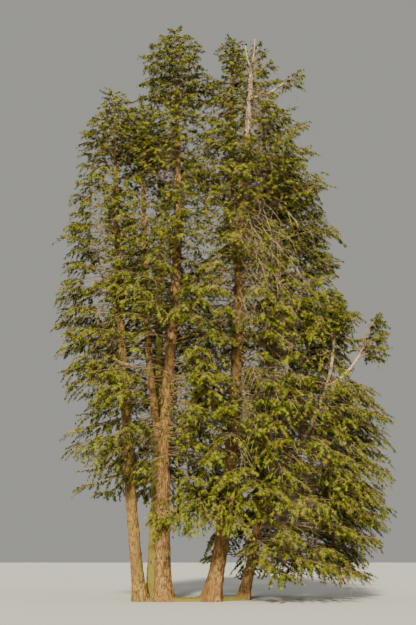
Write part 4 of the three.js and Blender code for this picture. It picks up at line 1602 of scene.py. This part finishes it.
    def branches(
        self, bough: Bough, rng: np.random.Generator, sprays: Sprays, twigs: Twigs, start: np.ndarray,
        heading: np.ndarray, reach: np.ndarray, outward: np.ndarray, share: np.ndarray,
    ) -> None:
        """Grows side branches, each a bent twig with sprays left and right and one at its end.

        Args:
            bough: The bough that they are on.
            rng: The bough's own random numbers.
            sprays: Where the sprays go.
            twigs: Where the wood goes.
            start: Where each branch starts.
            heading: The way that each goes.
            reach: How long each is.
            outward: The way that the bough goes.
            share: How far out each is on the live part of the bough, from 0 to 1.
        """
        end = start + heading * reach[:, None] - UP * (reach * rng.uniform(0.1, 0.4, len(reach)))[:, None]
        middle = (start + end) / 2 + UP * (0.1 * reach)[:, None]
        kept = clear_of_notches(middle) & clear_of_notches(end)
        long = kept & (reach > self.bend_from)
        short = kept & ~long
        points = np.stack([start, middle, end], axis=1)
        thick = (self.branch_wood[0] + self.branch_wood[1] * reach)[:, None] * np.array([1.0, 0.75, 0.4])
        twigs.add(points[long], thick[long], self.twig_sides)
        twigs.add(points[short][:, ::2], thick[short][:, ::2], self.twig_sides)
        if bough.lush <= 0:
            return
        for i in np.flatnonzero(kept):
            count = max(2, int(reach[i] / self.spray_step * bough.lush) + 1)
            u = np.linspace(0.22, 1.0, count)[:, None]
            base = (1 - u) ** 2 * start[i] + 2 * u * (1 - u) * middle[i] + u * u * end[i]
            tangent = unit((1 - u) * (middle[i] - start[i]) + u * (end[i] - middle[i]))
            side = level_across(tangent)
            sign = np.where(np.arange(count) % 2, 1.0, -1.0)[:, None]
            sign[-1] = 0.0
            droop = bough.hang * rng.uniform(0.05, 0.95, (count, 1))
            along = unit(tangent * 0.7 + side * sign * 0.62 - UP * droop + rng.normal(0, 0.28, (count, 3)))
            face = UP * 0.5 + outward * 0.7 * np.array([1.0, 1.0, 0.0]) + rng.normal(0, 0.5, (count, 3))
            size = self.spray_length * mix(1.0, 0.8, u[:, 0]) * rng.uniform(0.75, 1.3, count)
            sprays.add(base, along, face, size, self.tints(rng, count, share[i]))

    def tints(self, rng: np.random.Generator, count: int, share: float) -> np.ndarray:
        """Deals a tint to each spray of a branch: painted shade deep inside, painted sunlight towards the
        tips, and a few russet ones in the foliage's own colour.

        Args:
            rng: The bough's own random numbers.
            count: How many sprays there are.
            share: How far out the branch is, from 0 to 1.

        Returns:
            The number of each spray's tint.
        """
        # Painted light: sprays further out along the bough get lighter tints and those deeper inside darker
        # ones, with random painted shade besides
        level = 0.15 + 0.5 * share + rng.normal(0, 0.13) + rng.normal(0, 0.24, count)
        tint = np.digitize(level, [0.2, 0.4, 0.68])
        russet = rng.random(count) < (0.2 if rng.random() < 0.3 else 0.05)
        return np.where(russet, Tint.RUSSET.value, tint)

    def materials(self) -> list[Material]:
        """Returns the sprays' materials, in the order of their tints."""
        return [SprayFinish(f"{tint.name.lower()}_sprays", SPRAY_COLOURS[tint]).material() for tint in Tint]

    def build(self) -> None:
        """Grows every section and joins it into pieces."""
        materials = self.materials()
        wood, weathered = (finish.material() for finish in TWIG_BARKS)
        pattern = SprayPattern().corners()
        for section, names in SECTIONS.items():
            sprays, twigs, dead, solids, boughs = Sprays(), Twigs(), Twigs(), [], []
            for name in names:
                solids += GROUPS[name].nodes()
                boughs += GROUPS[name].boughs()
            for shoots in SHOOTS[section]:
                boughs += shoots.boughs()
            for bough in boughs:
                self.grow(bough, sprays, twigs, dead)
            joined = sprays.joined()
            total = len(joined[0])
            parts = math.ceil(total / self.most_sprays)
            for k in range(parts):
                chunk = slice(k * total // parts, (k + 1) * total // parts)
                piece = spray_piece(f"{section}_sprays_{k + 1}", joined, chunk, pattern)
                dress(piece, materials, "sprays", *solids)
            dress(twigs.piece(f"{section}_twigs"), [wood], "bark")
            dress(dead.piece(f"{section}_bare_twigs"), [weathered], "bare_wood")
            LOG.info("%s: %d sprays", section, total)


@dataclass
class Studio:
    """The floor, the lights and the camera."""

    pitch: float = 15.8
    lens: float = 50.0
    sensor: float = 36.0
    floor_size: float = 600.0
    floor_depth: float = 0.002
    key_travel: Triple = (0.1, 0.88, -0.44)
    key_colour: Triple = (1.0, 0.91, 0.7)
    key_strength: float = 8.6
    key_softness: float = 5.0
    fill_travel: Triple = (-0.6, 0.5, -0.5)
    fill_colour: Triple = (0.9, 0.95, 1.0)
    fill_strength: float = 0.3
    fill_softness: float = 30.0
    farthest: float = 2000.0
    sky: Triple = (0.93, 0.92, 0.86)
    sky_strength: float = 0.38

    def floor(self) -> None:
        """Lays the floor."""
        Modeller.clear()
        bpy.ops.mesh.primitive_plane_add(size=self.floor_size, location=(0.0, 0.0, -self.floor_depth))
        floor = bpy.context.active_object
        floor.name = "studio_floor"
        bpy.ops.object.mode_set(mode="EDIT")
        bpy.ops.mesh.select_all(action="SELECT")
        bpy.ops.mesh.subdivide(number_cuts=3)
        bpy.ops.object.mode_set(mode="OBJECT")
        bpy.ops.object.transform_apply(location=True, rotation=True, scale=True)
        floor.data.materials.append(FloorFinish().material())

    def sun(self, name: str, travel: Triple, colour: Triple, strength: float, softness: float) -> None:
        """Hangs a lamp whose light travels one way.

        Args:
            name: The lamp's name.
            travel: The direction that its light goes.
            colour: Its light's colour.
            strength: How strong it is.
            softness: How many degrees wide it looks, which softens its shadows.
        """
        lamp = bpy.data.lights.new(name, "SUN")
        lamp.energy = strength
        lamp.angle = math.radians(softness)
        lamp.color = colour
        holder = bpy.data.objects.new(name, lamp)
        holder.rotation_euler = Vector(travel).to_track_quat("-Z", "Y").to_euler()
        bpy.context.scene.collection.objects.link(holder)

    def world(self) -> None:
        """Sets the pale light from all round."""
        world = bpy.data.worlds.new("studio_world")
        world.use_nodes = True
        background = world.node_tree.nodes["Background"]
        background.inputs["Color"].default_value = (*self.sky, 1.0)
        background.inputs["Strength"].default_value = self.sky_strength
        bpy.context.scene.world = world

    def camera(self) -> None:
        """Sets the camera where the view is taken from, tilted up."""
        camera = bpy.data.cameras.new("studio_camera")
        camera.lens = self.lens
        camera.sensor_width = self.sensor
        camera.clip_end = self.farthest
        holder = bpy.data.objects.new("studio_camera", camera)
        holder.location = FRONT_VIEW.tolist()
        holder.rotation_euler = (math.radians(90 + self.pitch), 0.0, 0.0)
        bpy.context.scene.collection.objects.link(holder)
        bpy.context.scene.camera = holder

    def build(self) -> None:
        """Sets up the whole studio."""
        self.camera()
        self.floor()
        self.sun("key_light", self.key_travel, self.key_colour, self.key_strength, self.key_softness)
        self.sun("fill_light", self.fill_travel, self.fill_colour, self.fill_strength, self.fill_softness)
        self.world()


def main() -> None:
    """Builds the studio, the wood and the foliage, in that order."""
    logging.basicConfig(level=logging.INFO, format="%(message)s")
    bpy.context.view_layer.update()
    Studio().build()
    BarkedStems().build()
    Foliage().build()


if __name__ == "__main__":
    main()
